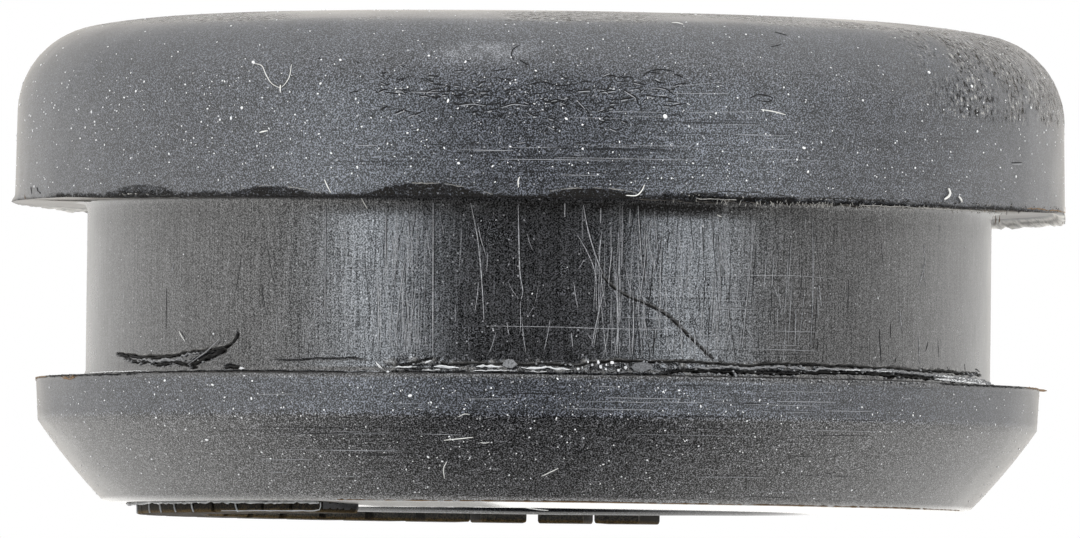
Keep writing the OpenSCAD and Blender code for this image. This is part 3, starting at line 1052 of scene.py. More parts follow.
def brown_edges(material):
    """Thin edges that have gone brown: the rim's and lip's ends, the torn hook, the flash's tip."""
    rng = np.random.default_rng(18)
    bm = bmesh.new()
    for points, half in (
        ([(-90, 10.63), (-84, 10.62), (-78, 10.61), (-72, 10.6)], 0.026),
        ([(66, 10.66), (70, 10.68), (74, 10.66), (78, 10.69), (84, 10.68), (88, 10.7)], 0.02),
        ([(-89, 4.6), (-84, 4.62), (-77, 4.63)], 0.022),
        ([(-89.5, 4.5), (-89, 4.6), (-87, 4.64)], 0.03),
        ([(-70.5, 4.6), (-69.5, 4.54), (-68, 4.5), (-66.5, 4.54), (-65.5, 4.61)], 0.03),
        ([(-69.6, 4.6), (-68.6, 4.56), (-67.4, 4.58), (-66.4, 4.62)], 0.02),
        ([(75, 4.62), (82, 4.62), (88, 4.6)], 0.02),
        ([(-77.6, 10.85), (-77.4, 10.72), (-77.0, 10.64)], 0.03),
    ):
        ribbon(bm, rng, points, half, depth=0.022, lift=0.0, wander=0.01, ends=0.12)
    edge = []
    for d in np.arange(-27, 78, 0.6):
        edge.append((d, MARK_H + 0.03 + rng.normal(0, 0.006), NOSE_R + 0.01))
    strip(bm, rng, edge, 0.026, 0.012)
    hook = [(17.95, -0.5, 11.0), (17.98, -0.3, 10.88), (17.98, -0.2, 10.74), (17.94, 0, 10.6)]
    hook += [(17.93, 0, 10.34)]
    front = Vector((0, -1, 0))
    for where, thick in (
        (hook, 0.034),
        ([(17.0, -1.6, 4.6), (17.2, -0.8, 4.6), (17.34, -0.3, 4.6), (17.46, 0, 4.6)], 0.045),
        ([(17.17, -0.6, 4.6), (17.16, -0.6, 4.4), (17.14, -0.6, 4.25)], 0.025),
        ([(15.62, -0.2, 10.6), (15.64, -0.2, 10.42), (15.6, -0.2, 10.26)], 0.018),
        ([(15.77, -0.2, 10.6), (15.76, -0.2, 10.42), (15.72, -0.2, 10.3)], 0.018),
    ):
        co = [Vector(v) for v in where]
        n = len(co)
        sizes = [thick * (1 - 0.75 * abs(2 * i / (n - 1) - 1) ** 2) for i in range(n)]
        ups = [way.cross(front).normalized() * w for way, w in zip(directions(co), sizes)]
        sweep(bm, co, ups, [front * w for w in sizes])
    return finish_mesh("brown_edges", bm, material, smooth_shade=False)


def flow_paths():
    """Short curved laps on the head's front, as (degrees, height) points: the plain ones, then more."""
    paths = [
        [(-21.0, 14.05), (-20.1, 14.1)],
        [(-17.7, 14.07), (-17.2, 14.15), (-16.7, 14.17)],
        [(-15.9, 14.14), (-15.0, 14.14), (-14.2, 14.09)],
        [(-14.2, 14.1), (-11.2, 14.09), (-7.8, 14.15)],
        [(-17.4, 13.48), (-16.7, 13.6)],
        [(-15.9, 13.35), (-15.0, 13.46), (-14.1, 13.4)],
        [(-14.4, 13.26), (-13.5, 13.34), (-12.8, 13.18)],
        [(-8.9, 13.65), (-7.5, 13.71), (-6.0, 13.66), (-4.3, 13.73)],
        [(-4.3, 13.6), (-2.9, 13.72), (-1.5, 13.67), (-0.6, 13.76)],
        [(-1.2, 14.37), (0.2, 14.45), (1.9, 14.33), (3.9, 14.41)],
        [(3.9, 14.17), (5.2, 14.2)],
        [(6.2, 14.13), (7.9, 14.21)],
        [(3.9, 13.85), (4.7, 13.59), (5.2, 13.39)],
        [(0.7, 12.99), (1.4, 12.88), (2.1, 12.95)],
        [(-2.6, 12.33), (-1.7, 12.38), (-0.8, 12.27)],
        [(11.2, 14.74), (12.1, 14.9), (13.4, 14.93), (14.6, 14.87)],
        [(12.4, 14.34), (13.5, 14.28), (14.3, 14.1)],
        [(8.9, 14.22), (10.2, 13.97), (10.5, 13.71)],
        [(-2.4, 15.7), (-3.2, 15.55), (-3.3, 15.31), (-3.0, 15.18)],
        [(-2.4, 15.18), (-1.4, 15.02)],
        [(23.0, 14.02), (24.2, 14.16), (25.7, 14.06), (25.2, 13.92), (23.8, 13.97)],
        [(28.5, 16.32), (29.8, 16.22)],
        [(26.8, 15.8), (28.3, 15.89)],
        [(62.8, 12.18), (65.4, 12.21)],
    ]
    rng = np.random.default_rng(55)
    for _ in range(120):
        deg = rng.uniform(-19, 16)
        z = 13.8 + 0.03 * abs(deg) + rng.normal(0, 0.42)
        w = math.degrees(rng.uniform(0.06, 0.24) / HEAD_R)
        rise, bow = rng.normal(0, 0.035), rng.normal(0, 0.035)
        paths.append([(deg - w, z - rise), (deg, z + bow), (deg + w, z + rise)])
    return paths


def turned_lines(rng):
    """Long fine lines that the mould's turning left, as (degrees, height) ends."""
    lines = [[(14.3, 14.13), (20.6, 14.17)], [(13.2, 11.71), (18.3, 11.74)], [(9.4, 14.19), (20.6, 14.57)]]
    for lo, hi, low, high, count, longest in (
        (4, 30, 11.1, 13.6, 60, 3.0),
        (-20, 12, 10.95, 12.4, 34, 5.0),
        (20, 44, 13.3, 15.0, 12, 2.0),
        (-34, 40, 0.6, 3.1, 46, 5.0),
        (-50, 50, 3.3, 4.5, 34, 3.0),
        (4, 34, 3.35, 4.3, 20, 3.5),
        (13, 34, 5.4, 8.3, 30, 3.0),
    ):
        for _ in range(count):
            deg, z = rng.uniform(lo, hi), rng.uniform(low, high)
            w = math.degrees(rng.uniform(0.2, 1) ** 1.5 * longest / 2 / HEAD_R)
            tilt = rng.normal(0, 0.012)
            lines.append([(deg - w, z - tilt), (deg + w, z + tilt)])
    return lines


def fine_lines(dark, light):
    """The laps and the turning lines: dark lines of painted shade, and light lines of painted highlight
    below them.
    """
    rng = np.random.default_rng(56)
    furrow_shade, lip_highlights = bmesh.new(), bmesh.new()
    for path in flow_paths():
        w = rng.uniform(0.014, 0.028)
        gap = w * 1.7 * (1 if rng.uniform() < 0.75 else -1)
        fibre(furrow_shade, path, w, lift=0.001, sides=4)
        if rng.uniform() < 0.6:
            half = path[: max(2, len(path) // 2 + 1)]
            fibre(lip_highlights, [(d + 0.05, z - gap) for d, z in half], w * 0.7, lift=0.003, sides=4)
    # Crumbs: dark ones of painted shade, light ones of painted highlight
    for _ in range(150):
        deg = rng.normal(-1, 9)
        z = 13.85 + 0.03 * abs(deg) + rng.normal(0, 0.4)
        w = rng.uniform(0.04, 0.12)
        bm = furrow_shade if rng.uniform() < 0.55 else lip_highlights
        flake(bm, rng, deg, z, w, w * rng.uniform(0.25, 0.6), 0.012, 0.04)
    for path in turned_lines(rng):
        pick = rng.uniform()
        w = rng.uniform(0.004, 0.01)
        fibre(furrow_shade if pick < 0.65 else lip_highlights, path, w, lift=0.001, sides=4, step=0.3)
    return [
        finish_mesh("furrow_shade", furrow_shade, dark),
        finish_mesh("lap_highlights", lip_highlights, light),
    ]


def rim_burr(material):
    """The thin burr along the upper edge of the knife cuts, and crumbs of the torn flash."""
    rng = np.random.default_rng(13)
    bm = bmesh.new()
    for lo, hi, count in ((-45, -36, 2), (-34, -20, 7), (-17, -1.5, 12), (-0.5, 12, 9)):
        for start in rng.uniform(lo, hi, count):
            stop = min(hi, start + rng.uniform(0.5, 2.2))
            path = [(d, cut_top(d) + 0.005) for d in np.linspace(start, stop, 4)]
            ribbon(bm, rng, path, 0.008, depth=0.015, lift=0.0, wander=0.012, ends=0.4)
    for deg in list(rng.uniform(14, 78, 170)) + list(rng.uniform(-80, -30, 40)):
        right = deg > 0
        z = rng.uniform(10.42, 10.72) if right else rng.uniform(10.6, 10.72)
        w = rng.uniform(0.03, 0.11)
        flake(bm, rng, deg, z, w, w * rng.uniform(0.4, 1.0), -0.1 if right else -0.03, 0.12)
    for deg in rng.uniform(14, 86, 60):
        w = rng.uniform(0.025, 0.06)
        flake(bm, rng, deg, 10.64 + abs(rng.normal(0, 0.08)), w, w * rng.uniform(0.5, 1.4), 0.015, 0.05)
    hem = HEAD_R - 0.06
    for _ in range(130):
        deg = rng.choice([rng.uniform(14, 60), rng.normal(29, 4), rng.normal(46, 7)])
        z = np.interp(deg, [14, 25, 60], [10.52, 10.5, 10.5]) + rng.normal(0, 0.035)
        top = (deg, z + rng.uniform(0.02, 0.09), hem)
        foot = (deg + rng.normal(0, 0.2), z - rng.uniform(0.01, 0.09), hem)
        strip(bm, rng, [top, foot], 0.012, 0.02)
    for lo, hi, high, low in ((37, 62, 10.53, 10.45), (46, 62, 10.51, 10.46), (17, 22, 10.62, 10.6)):
        count = int((hi - lo) * 2)
        heights = [high + (low - high) * i / count + rng.normal(0, 0.01) for i in range(count)]
        places = [(lo + i / 2, z, hem + 0.03) for i, z in enumerate(heights)]
        strip(bm, rng, places, 0.014, 0.02)
    return finish_mesh("rim_burr", bm, material, smooth_shade=False)


def scratches(light, dark):
    """Fine scratches down the neck: light threads of raised rubber, and dark threads of painted shade
    beside the wider ones and among them.
    """
    rng = np.random.default_rng(21)
    raised, cuts = bmesh.new(), bmesh.new()
    for points, w in (
        ([(-13.4, 10.5), (-13.3, 8), (-13.2, 5.25)], 0.023),
        ([(-27.7, 10.3), (-27.7, 8.2), (-27.6, 6.1)], 0.016),
        ([(-19.5, 10.3), (-19.5, 8.1)], 0.018),
        ([(-16.9, 8.6), (-17.6, 7.2), (-18.2, 5.5)], 0.016),
        ([(-15.5, 7.6), (-16.1, 6.2), (-16.3, 5.5)], 0.016),
        ([(-2.7, 10.35), (-2.4, 8.2), (-2.0, 7.5), (-2.2, 7.2)], 0.026),
        ([(-8.7, 10.5), (-7.7, 9.2), (-7.1, 7.7), (-6.8, 6.5)], 0.02),
        ([(5.4, 10.4), (6.0, 9.6), (6.9, 8.8), (7.9, 8.1)], 0.025),
        ([(4.7, 9.4), (5.8, 8.9), (6.8, 8.3), (7.2, 7.7)], 0.018),
        ([(9.1, 9.0), (8.8, 8.2), (8.7, 7.7)], 0.022),
        ([(8.0, 7.4), (7.5, 6.8), (6.9, 6.0), (6.7, 5.7)], 0.02),
        ([(7.7, 9.4), (7.4, 8.7)], 0.018),
        ([(9.8, 8.0), (9.9, 6.8), (9.9, 5.4)], 0.022),
        ([(12.3, 10.4), (12.6, 9.3), (12.9, 8.3)], 0.021),
        ([(11.8, 7.5), (11.9, 6.4), (11.8, 5.4)], 0.02),
        ([(7.6, 10.3), (7.6, 9.8)], 0.026),
        ([(3.1, 10.5), (3.1, 10.05)], 0.03),
        ([(22.7, 9.5), (23.2, 7.6), (22.6, 5.6)], 0.016),
        ([(27.9, 9.8), (27.0, 7.6), (26.3, 5.6)], 0.018),
        ([(-6.5, 6.29), (2.7, 6.28), (8.5, 6.25), (17.5, 6.26)], 0.0155),
        ([(-2.3, 7.15), (-2.2, 6.1)], 0.014),
        ([(4.1, 6.1), (4.3, 5.6)], 0.02),
        ([(-27, 8.15), (-22, 8.16), (-13.7, 8.15)], 0.01),
        ([(10, 8.05), (17.5, 8.0), (25, 8.1), (33, 8.16), (40, 8.1)], 0.01),
        ([(36.5, 10.0), (36.6, 7.4), (36.4, 5.8)], 0.014),
    ):
        w = w * 0.9
        fibre(raised, points, w, lift=0.002, sides=4)
        # A dark thread of painted shade beside each wider light one
        if w > 0.011:
            beside = math.degrees(w * 1.8 / NECK_R)
            fibre(cuts, [(d + beside, z) for d, z in points], w * 0.7, lift=0.001, sides=4)
    fibre(cuts, [(-22, 5.58), (-8, 5.56), (6, 5.54), (20, 5.55)], 0.008, lift=0.001, sides=4)
    for lo, hi, count, longest in (
        (-27, -21, 14, 3.0),
        (-21, -14, 90, 3.2),
        (7, 14, 80, 3.0),
        (14, 25, 90, 2.6),
        (-13, 7, 26, 1.6),
        (25, 38, 40, 2.4),
        (-60, -28, 14, 1.5),
        (38, 62, 14, 1.5),
    ):
        for _ in range(count):
            deg, top = rng.uniform(lo, hi), rng.uniform(5.9, 10.45)
            length = min(rng.uniform(0.3, 1) ** 1.5 * longest, top - 5.3)
            lean = rng.normal(0, 0.6)
            path = [(deg, top), (deg + lean * 0.4, top - length / 2), (deg + lean, top - length)]
            bm = raised if rng.uniform() < 0.6 else cuts
            fibre(bm, path, rng.uniform(0.005, 0.014), lift=0.001, sides=4, step=0.15)
    return [
        finish_mesh("neck_scratches", raised, light),
        finish_mesh("neck_shade_lines", cuts, dark),
    ]


# ---------------------------------------------------------------- dust and lint
def grain_size(rng):
    """The size of a grain: mostly small, now and then a big one."""
    return 0.04 + 0.035 * rng.uniform() ** 2 + (0.06 * rng.uniform() if rng.uniform() < 0.07 else 0)


def small_size(rng):
    """The size of a grain where all of them are small."""
    return 0.035 + 0.04 * rng.uniform() ** 2


def dust(material):
    """Grains of dust all round, more at the front and on the head's left, and some named ones."""
    rng = np.random.default_rng(34)
    bm = bmesh.new()
    for lo, hi, scale, count in (
        (11.0, 14.6, 1.0, 640),
        (14.6, 16.9, 1.0, 340),
        (0.6, 3.2, 1.0, 420),
        (3.25, 4.55, 1.0, 200),
        (5.4, 10.3, 0.8, 120),
    ):
        for _ in range(count):
            size = grain_size(rng)
            speck(bm, rng, rng.uniform(-180, 180), rng.uniform(lo, hi), size * scale)
    for lo, hi, count in ((0.6, 3.2, 170), (3.25, 4.55, 110), (11.0, 14.6, 90)):
        for _ in range(count):
            speck(bm, rng, rng.normal(0, 28), rng.uniform(lo, hi), small_size(rng))
    for _ in range(260):
        a = rng.uniform(0, 2 * math.pi)
        r = math.sqrt(rng.uniform((MOUTH_R + 0.1) ** 2, 13.8**2))
        z = TOP_Z - CROWN_R + math.sqrt(CROWN_R**2 - max(0, r - HEAD_FLAT_R) ** 2)
        place = Vector((r * math.sin(a), -r * math.cos(a), z))
        grain_on(bm, rng, place, Vector((0, 0, 1)), grain_size(rng))
    for _ in range(90):
        speck(bm, rng, rng.uniform(-66, -22), rng.uniform(11.2, 14.8), small_size(rng))
    for deg, z, size in (
        (-33.4, 15.08, 0.13),
        (-35.5, 13.2, 0.1),
        (-22.6, 15.15, 0.1),
        (-24.5, 14.35, 0.1),
        (-12.5, 15.3, 0.1),
        (13.4, 13.35, 0.17),
        (-58, 13.5, 0.1),
        (30, 11.6, 0.12),
        (48, 15.1, 0.13),
        (29.5, 12.4, 0.11),
        (55, 14.7, 0.13),
        (-45.1, 6.0, 0.09),
        (-59, 1.3, 0.09),
    ):
        speck(bm, rng, deg, z, size)
    return finish_mesh("dust", bm, material)


def lint(material):
    """Short hairs where the photo shows them, each with half its thickness in mm."""
    bm = bmesh.new()
    for points, w in (
        ([(-33.3, 15.05), (-32.1, 14.95), (-31.3, 14.65), (-30.4, 14.35), (-29.3, 14.2)], 0.014),
        ([(-29.3, 14.2), (-28.7, 14.35), (-28.3, 14.6), (-28.4, 15.0)], 0.013),
        ([(-29.3, 14.3), (-29.2, 14.05)], 0.026),
        ([(-31.7, 12.71), (-31.2, 12.74), (-30.7, 12.77)], 0.026),
        ([(-23.7, 11.12), (-23.4, 10.95), (-23.1, 10.77)], 0.02),
        ([(-23.1, 10.77), (-22.6, 10.5), (-22.0, 10.22)], 0.02),
        ([(-2.2, 11.25), (-2.35, 11.1), (-2.3, 10.9)], 0.022),
        ([(9.2, 10.68), (10.3, 10.68), (10.9, 10.85), (11.2, 11.05)], 0.024),
        ([(-10.9, 2.43), (-9.4, 2.49), (-7.4, 2.54)], 0.02),
        ([(-10.9, 1.72), (-11.4, 1.5), (-11.5, 1.16)], 0.02),
        ([(0.6, 1.27), (1.6, 1.42), (2.6, 1.54)], 0.019),
        ([(-6.6, 2.36), (-5.6, 2.37)], 0.015),
        ([(-8.9, 3.2), (-8.2, 3.3), (-7.6, 3.28)], 0.014),
        ([(-51.6, 6.1), (-51.0, 5.95), (-50.4, 5.75)], 0.02),
        ([(22.6, 10.15), (23.2, 10.08)], 0.022),
        ([(24.3, 13.65), (25.6, 13.6), (27.2, 13.5)], 0.02),
        ([(15.9, 16.55), (17.2, 16.5)], 0.018),
        ([(49.9, 11.2), (50.1, 11.05), (49.8, 10.92), (49.2, 10.82)], 0.045),
        ([(51.7, 10.94), (52.3, 10.76)], 0.035),
        ([(-1.4, 0.2), (0.4, 0.14), (1.6, 0.12)], 0.02),
    ):
        fibre(bm, points, w, lift=w * 1.1, arch=0.03)
    return finish_mesh("lint", bm, material)


# ---------------------------------------------------------------- materials
class Nodes:
    """The nodes of a material or the world, with short ways to add and link them."""

    def __init__(self, owner):
        owner.use_nodes = True
        self.tree = owner.node_tree

    def new(self, kind):
        return self.tree.nodes.new("ShaderNode" + kind)

    def put(self, socket, value):
        """Links an input to another node's output, or sets it to a constant."""
        if isinstance(value, bpy.types.NodeSocket):
            self.tree.links.new(value, socket)
        else:
            socket.default_value = value

    def math(self, op, a, b, clamp=False):
        n = self.new("Math")
        n.operation, n.use_clamp = op, clamp
        self.put(n.inputs[0], a)
        self.put(n.inputs[1], b)
        return n.outputs[0]

    def times(self, first, *rest):
        for value in rest:
            first = self.math("MULTIPLY", first, value)
        return first

    def plus(self, a, b, clamp=False):
        return self.math("ADD", a, b, clamp)

    def most(self, a, b):
        return self.math("MAXIMUM", a, b)

    def ramp(self, x, lo, hi, to_lo=0.0, to_hi=1.0):
        """A smooth step from one value to another while x goes from lo to hi."""
        n = self.new("MapRange")
        n.interpolation_type = "SMOOTHSTEP"
        keys = ("Value", "From Min", "From Max", "To Min", "To Max")
        for key, v in zip(keys, (x, lo, hi, to_lo, to_hi)):
            self.put(n.inputs[key], v)
        return n.outputs[0]

    def vector(self, op, a, b=None):
        """A vector node, for the output that its operation has."""
        n = self.new("VectorMath")
        n.operation = op
        self.put(n.inputs[0], a)
        if b is not None:
            self.put(n.inputs[1], b)
        return n

    def blend(self, share, shader, other):
        """A mix of two shader nodes' outputs."""
        n = self.new("MixShader")
        self.put(n.inputs[0], share)
        self.put(n.inputs[1], shader)
        self.put(n.inputs[2], other)
        return n.outputs[0]


class Shader(Nodes):
    """A material round one Principled BSDF. Sizes are in mm."""

    TURN = (math.radians(45), math.radians(35), math.radians(20))

    def __init__(self, name):
        self.mat = bpy.data.materials.new(name)
        super().__init__(self.mat)
        self.bsdf = self.tree.nodes["Principled BSDF"]
        self.place = self.new("TexCoord").outputs["Object"]

    def turned(self, factors):
        """The place, stretched, then turned so that no plane of a noise's lattice lies along a wall."""
        n = self.new("Mapping")
        n.inputs["Scale"].default_value = factors
        n.inputs["Rotation"].default_value = self.TURN
        self.put(n.inputs["Vector"], self.place)
        return n.outputs[0]

    def noise(self, cell, stretch=(1.0, 1.0, 1.0), detail=2.0, rough=0.55):
        n = self.new("TexNoise")
        self.put(n.inputs["Vector"], self.turned(stretch))
        n.inputs["Scale"].default_value = 1000 / cell
        n.inputs["Detail"].default_value = detail
        n.inputs["Roughness"].default_value = rough
        return n.outputs[0]

    def spots(self, cell, part, radius):
        """1 in small round spots, which a part of the cells have."""
        n = self.new("TexVoronoi")
        self.put(n.inputs["Vector"], self.place)
        n.inputs["Scale"].default_value = 1000 / cell
        pick = self.new("SeparateColor")
        self.put(pick.inputs[0], n.outputs["Color"])
        near = self.ramp(n.outputs["Distance"], radius, radius * 0.6)
        return self.times(near, self.ramp(pick.outputs[0], 1 - part, 1 - part * 0.8))

    def attribute(self, name):
        n = self.new("Attribute")
        n.attribute_name = name
        return n.outputs["Fac"]

    def mix(self, fac, a, b):
        n = self.new("Mix")
        n.data_type = "RGBA"
        self.put(n.inputs[0], fac)
        self.put(n.inputs[6], a)
        self.put(n.inputs[7], b)
        return n.outputs[2]

    def scale_colour(self, colour, by):
        n = self.vector("SCALE", colour)
        self.put(n.inputs[3], by)
        return n.outputs[0]

    def bump(self, height, distance, strength=1.0, below=None):
        """Bump of a height from 0 to 1, whose full height is the distance in mm."""
        n = self.new("Bump")
        self.put(n.inputs["Height"], height)
        n.inputs["Distance"].default_value = distance * MM
        self.put(n.inputs["Strength"], strength)
        if below is not None:
            self.put(n.inputs["Normal"], below)
        return n.outputs[0]


class Rubber(Shader):
    """Black rubber: bloomed and grained on the head, glossier and scored on the neck."""

    def __init__(self):
        super().__init__("black_rubber")
        self.neck, self.nose = self.attribute("neck"), self.attribute("nose")
        self.sharp, self.lined = self.attribute("sharp"), self.attribute("lined")
        self.polish, self.crumbled = self.attribute("polish"), self.attribute("crumbled")
        darkening = self.noise(0.07, detail=2.0)
        # The darkening, mostly painted shade, broken by lighter flecks
        self.torn = self.times(self.attribute("torn"), self.ramp(darkening, 0.54, 0.64, 1.0, 0.3))
        self.grain = self.noise(0.044, detail=0.0)
        self.fine = self.ramp(self.grain, 0.26, 0.74)
        self.mottle = self.noise(0.9, detail=3.0)
        self.lathed = self.noise(0.1, stretch=(0.02, 0.02, 1.0), detail=2.0)
        self.scored = self.noise(0.06, stretch=(1.0, 1.0, 0.03), detail=1.5, rough=0.6)
        self.pit = self.noise(0.16, stretch=(1.0, 1.0, 0.7), detail=4.0, rough=0.72)
        self.spread = self.times(self.about_half(self.fine), self.sharp)
        streak = self.about_half(self.ramp(self.scored, 0.3, 0.7))
        self.across = self.times(streak, self.times(self.sharp, self.neck))
        self.ruled = self.times(self.about_half(self.ramp(self.lathed, 0.3, 0.7)), self.lined)
        self.pits = self.times(self.ramp(self.pit, 0.445, 0.425), self.crumbled)

    def about_half(self, x):
        return self.math("SUBTRACT", x, 0.5)

    def step(self, x, at_0, at_1):
        """A value that goes from at_0 to at_1 as x goes from 0 to 1."""
        return self.ramp(x, 0.0, 1.0, at_0, at_1)

    def speckle(self):
        """How bright the grain makes each place, 1 on the whole."""
        peaks = self.math("POWER", self.fine, self.step(self.nose, 2.8, 5.0))
        peaks = self.plus(self.times(peaks, self.step(self.nose, 4.4, 19.0)), 0.03)
        return self.plus(self.times(self.math("SUBTRACT", peaks, 1.0), self.sharp), 1.0)

    def grained(self, speckle):
        """The colours of head, neck and nose, with their grain, turning lines and scoring."""
        colour = self.mix(self.neck, HEAD_COLOUR, NECK_COLOUR)
        colour = self.mix(self.nose, colour, NOSE_COLOUR)
        calm = self.times(self.ramp(self.mottle, 0.3, 0.7, -0.13, 0.13), self.step(self.neck, 1.0, 0.4))
        level = self.times(speckle, self.plus(calm, 1.0))
        level = self.times(level, self.plus(self.times(self.ruled, 0.42), 1.0))
        level = self.times(level, self.plus(self.times(self.across, 0.75), 1.0))
        return self.scale_colour(colour, level)

    def sparkled(self, colour):
        """A colour with bright grains, which are painted glints."""
        sparks = self.times(self.spots(0.17, 0.25, 0.22), self.sharp)
        nose = self.times(self.spots(0.13, 0.3, 0.26), self.times(self.nose, self.sharp))
        return self.mix(self.times(self.most(sparks, nose), 0.75), colour, SPARK_COLOUR)

    def stretched(self, colour):
        """A colour that turns pale on the hanging sheets, the ridges above the grooves and the loose
        skin's lumps: on the sheets pale skin made near white as painted reflection, on the lumps painted
        highlight.
        """
        patchy = self.ramp(self.noise(0.35, detail=3.0), 0.36, 0.58, 0.55, 0.95)
        return self.mix(self.times(self.attribute("pale"), patchy), colour, PALE_COLOUR)

    def weathered(self, colour, speckle):
        """A colour with the painted highlight on the crown, the crumbled shoulder's pits in painted shade
        and its chips in painted highlight, and the darkening, which is mostly painted shade.
        """
        # The crown's patch is a painted highlight, which keeps the grain
        dull = self.scale_colour(CROWN_HIGHLIGHT_COLOUR, self.math("POWER", speckle, 0.5))
        crown_highlight = self.times(self.attribute("crown_highlight"), self.ramp(self.mottle, 0.36, 0.6, 0.15, 0.75))
        colour = self.mix(crown_highlight, colour, dull)
        # Chips on the raised tops are painted highlight, pits in the hollows painted shade
        chips = self.times(self.ramp(self.pit, 0.59, 0.615), self.crumbled)
        colour = self.mix(self.times(chips, 0.65), colour, CHIP_HIGHLIGHT_COLOUR)
        colour = self.mix(self.times(self.pits, 0.95), colour, PIT_SHADE_COLOUR)
        return self.mix(self.torn, colour, DARKENED_COLOUR)

    def gloss(self, dull):
        """How much the surface reflects, which is little where it is darkened, mostly by painted shade."""
        below_head = self.most(self.neck, self.nose)
        gloss = self.times(self.spread, self.step(below_head, 0.8, 1.4))
        gloss = self.plus(gloss, self.step(self.neck, 0.92, 1.03))
        gloss = self.plus(gloss, self.times(self.across, 0.6))
        ruled = self.times(self.ruled, self.step(self.neck, 0.25, 1.0))
        gloss = self.plus(gloss, self.times(ruled, 0.5))
        return self.times(gloss, self.ramp(dull, 0.0, 0.8, 1.0, 0.15))

    def roughness(self, dull):
        """How rough the surface is: most on the head, least on the polished end face."""
        rough = self.ramp(self.noise(2.4, detail=2.0), 0.3, 0.7, 0.41, 0.47)
        rough = self.times(rough, self.step(self.neck, 1.0, 0.66))
        rough = self.times(rough, self.step(self.nose, 1.0, 0.78))
        rough = self.times(rough, self.step(self.polish, 1.0, 0.14))
        return self.plus(rough, self.times(dull, 0.35), clamp=True)

    def relief(self):
        """The bumps, from the coarsest to the finest."""
        uneven = self.step(self.polish, 1.0, 0.04)
        normal = self.bump(self.mottle, 0.03, self.times(uneven, 0.4))
        normal = self.bump(self.pit, 0.08, self.times(self.crumbled, 0.9), normal)
        normal = self.bump(self.lathed, 0.01, self.times(self.lined, uneven, 0.45), normal)
        normal = self.bump(self.scored, 0.01, self.times(self.neck, 0.35), normal)
        return self.bump(self.grain, 0.005, self.times(self.sharp, uneven, 0.8), normal)


def rubber():
    """The body's black rubber, built up from the values that Rubber holds."""
    s = Rubber()
    speckle = s.speckle()
    colour = s.stretched(s.sparkled(s.grained(speckle)))
    s.put(s.bsdf.inputs["Base Color"], s.weathered(colour, speckle))
    dull = s.most(s.torn, s.times(s.pits, 0.85))
    s.put(s.bsdf.inputs["Specular IOR Level"], s.gloss(dull))
    s.put(s.bsdf.inputs["Roughness"], s.roughness(dull))
    s.bsdf.inputs["Sheen Weight"].default_value = 0.3
    s.bsdf.inputs["Sheen Roughness"].default_value = 0.24
    s.bsdf.inputs["Sheen Tint"].default_value = (1.0, 0.9, 0.77, 1)
    s.put(s.bsdf.inputs["Normal"], s.relief())
    return s.mat


def mark_rubber():
    """The raised marks' drier rubber, brown toward its lower edges, and pale on its inner side as painted
    light from below.
    """
    s = Shader("mark_rubber")
    grain = s.noise(0.06, detail=2.0)
    parts = s.new("SeparateXYZ")
    s.put(parts.inputs[0], s.place)
    height = parts.outputs[2]
    low = s.plus(s.ramp(height, 0.16 * MM, 0.02 * MM), s.ramp(grain, 0.3, 0.7, -0.25, 0.25), clamp=True)
    low = s.times(low, s.ramp(height, 0.0, 0.012 * MM, 0.2, 1.0))
    flat = s.vector("MULTIPLY", s.place, (1.0, 1.0, 0.0)).outputs[0]
    radius = s.vector("LENGTH", flat).outputs["Value"]
    inside = MARK_RING_R - MARK_W
    # The inner side's pale colour is painted light, from below where the floor blocks the lamps
    inner = s.ramp(radius, (inside + 0.25) * MM, (inside + 0.05) * MM)
    colour = s.mix(inner, (0.02, 0.018, 0.016, 1), (0.34, 0.335, 0.32, 1))
    brown = s.mix(inner, (0.15, 0.1, 0.04, 1), (0.6, 0.42, 0.19, 1))
    colour = s.scale_colour(s.mix(low, colour, brown), s.ramp(grain, 0.3, 0.7, 0.6, 1.4))
    s.put(s.bsdf.inputs["Base Color"], colour)
    s.bsdf.inputs["Roughness"].default_value = 0.75
    s.bsdf.inputs["Specular IOR Level"].default_value = 0.15
    s.put(s.bsdf.inputs["Normal"], s.bump(grain, 0.01, 0.6))
    return s.mat


def skin(name, red, green, blue, rough, vary=0.2):
    """Thin stretched rubber, dust, lint, and small pieces of painted shade, highlight and glints: its
    brightness varies by the share given.
    """
    s = Shader(name)
    grain = s.noise(0.06, detail=2.0)
    darker = (0.7 * red, 0.7 * green, 0.7 * blue, 1)
    colour = s.mix(s.ramp(grain, 0.35, 0.65), (red, green, blue, 1), darker)
    colour = s.scale_colour(colour, s.ramp(grain, 0.3, 0.7, 1 - vary, 1 + vary))
    s.put(s.bsdf.inputs["Base Color"], colour)
    s.bsdf.inputs["Roughness"].default_value = rough
    s.put(s.bsdf.inputs["Normal"], s.bump(grain, 0.01, 0.6))
    return s.mat


# ---------------------------------------------------------------- stage, in metres
CENTRE = Vector((0, 0, TOP_Z / 2 * MM))
FLOOR_HALF = 3.0
CAM_DISTANCE = 0.8
CAM_Z = -0.0092
CAM_TARGET = Vector((0.00003, 0, 0.00857))
CAM_ROLL = math.radians(0.68)
VIEW_WIDTH = 0.03702
SENSOR_MM = 36


def link(name, data):
    """An object in the scene for a lamp, a camera or a mesh."""
    ob = bpy.data.objects.new(name, data)
    bpy.context.scene.collection.objects.link(ob)
    return ob


def around(azimuth, elevation, distance):
    """A point round the object's middle: azimuth 0 is the front, positive to the right."""
    a, e = math.radians(azimuth), math.radians(elevation)
    way = Vector((math.sin(a) * math.cos(e), -math.cos(a) * math.cos(e), math.sin(e)))
    return CENTRE + way * distance


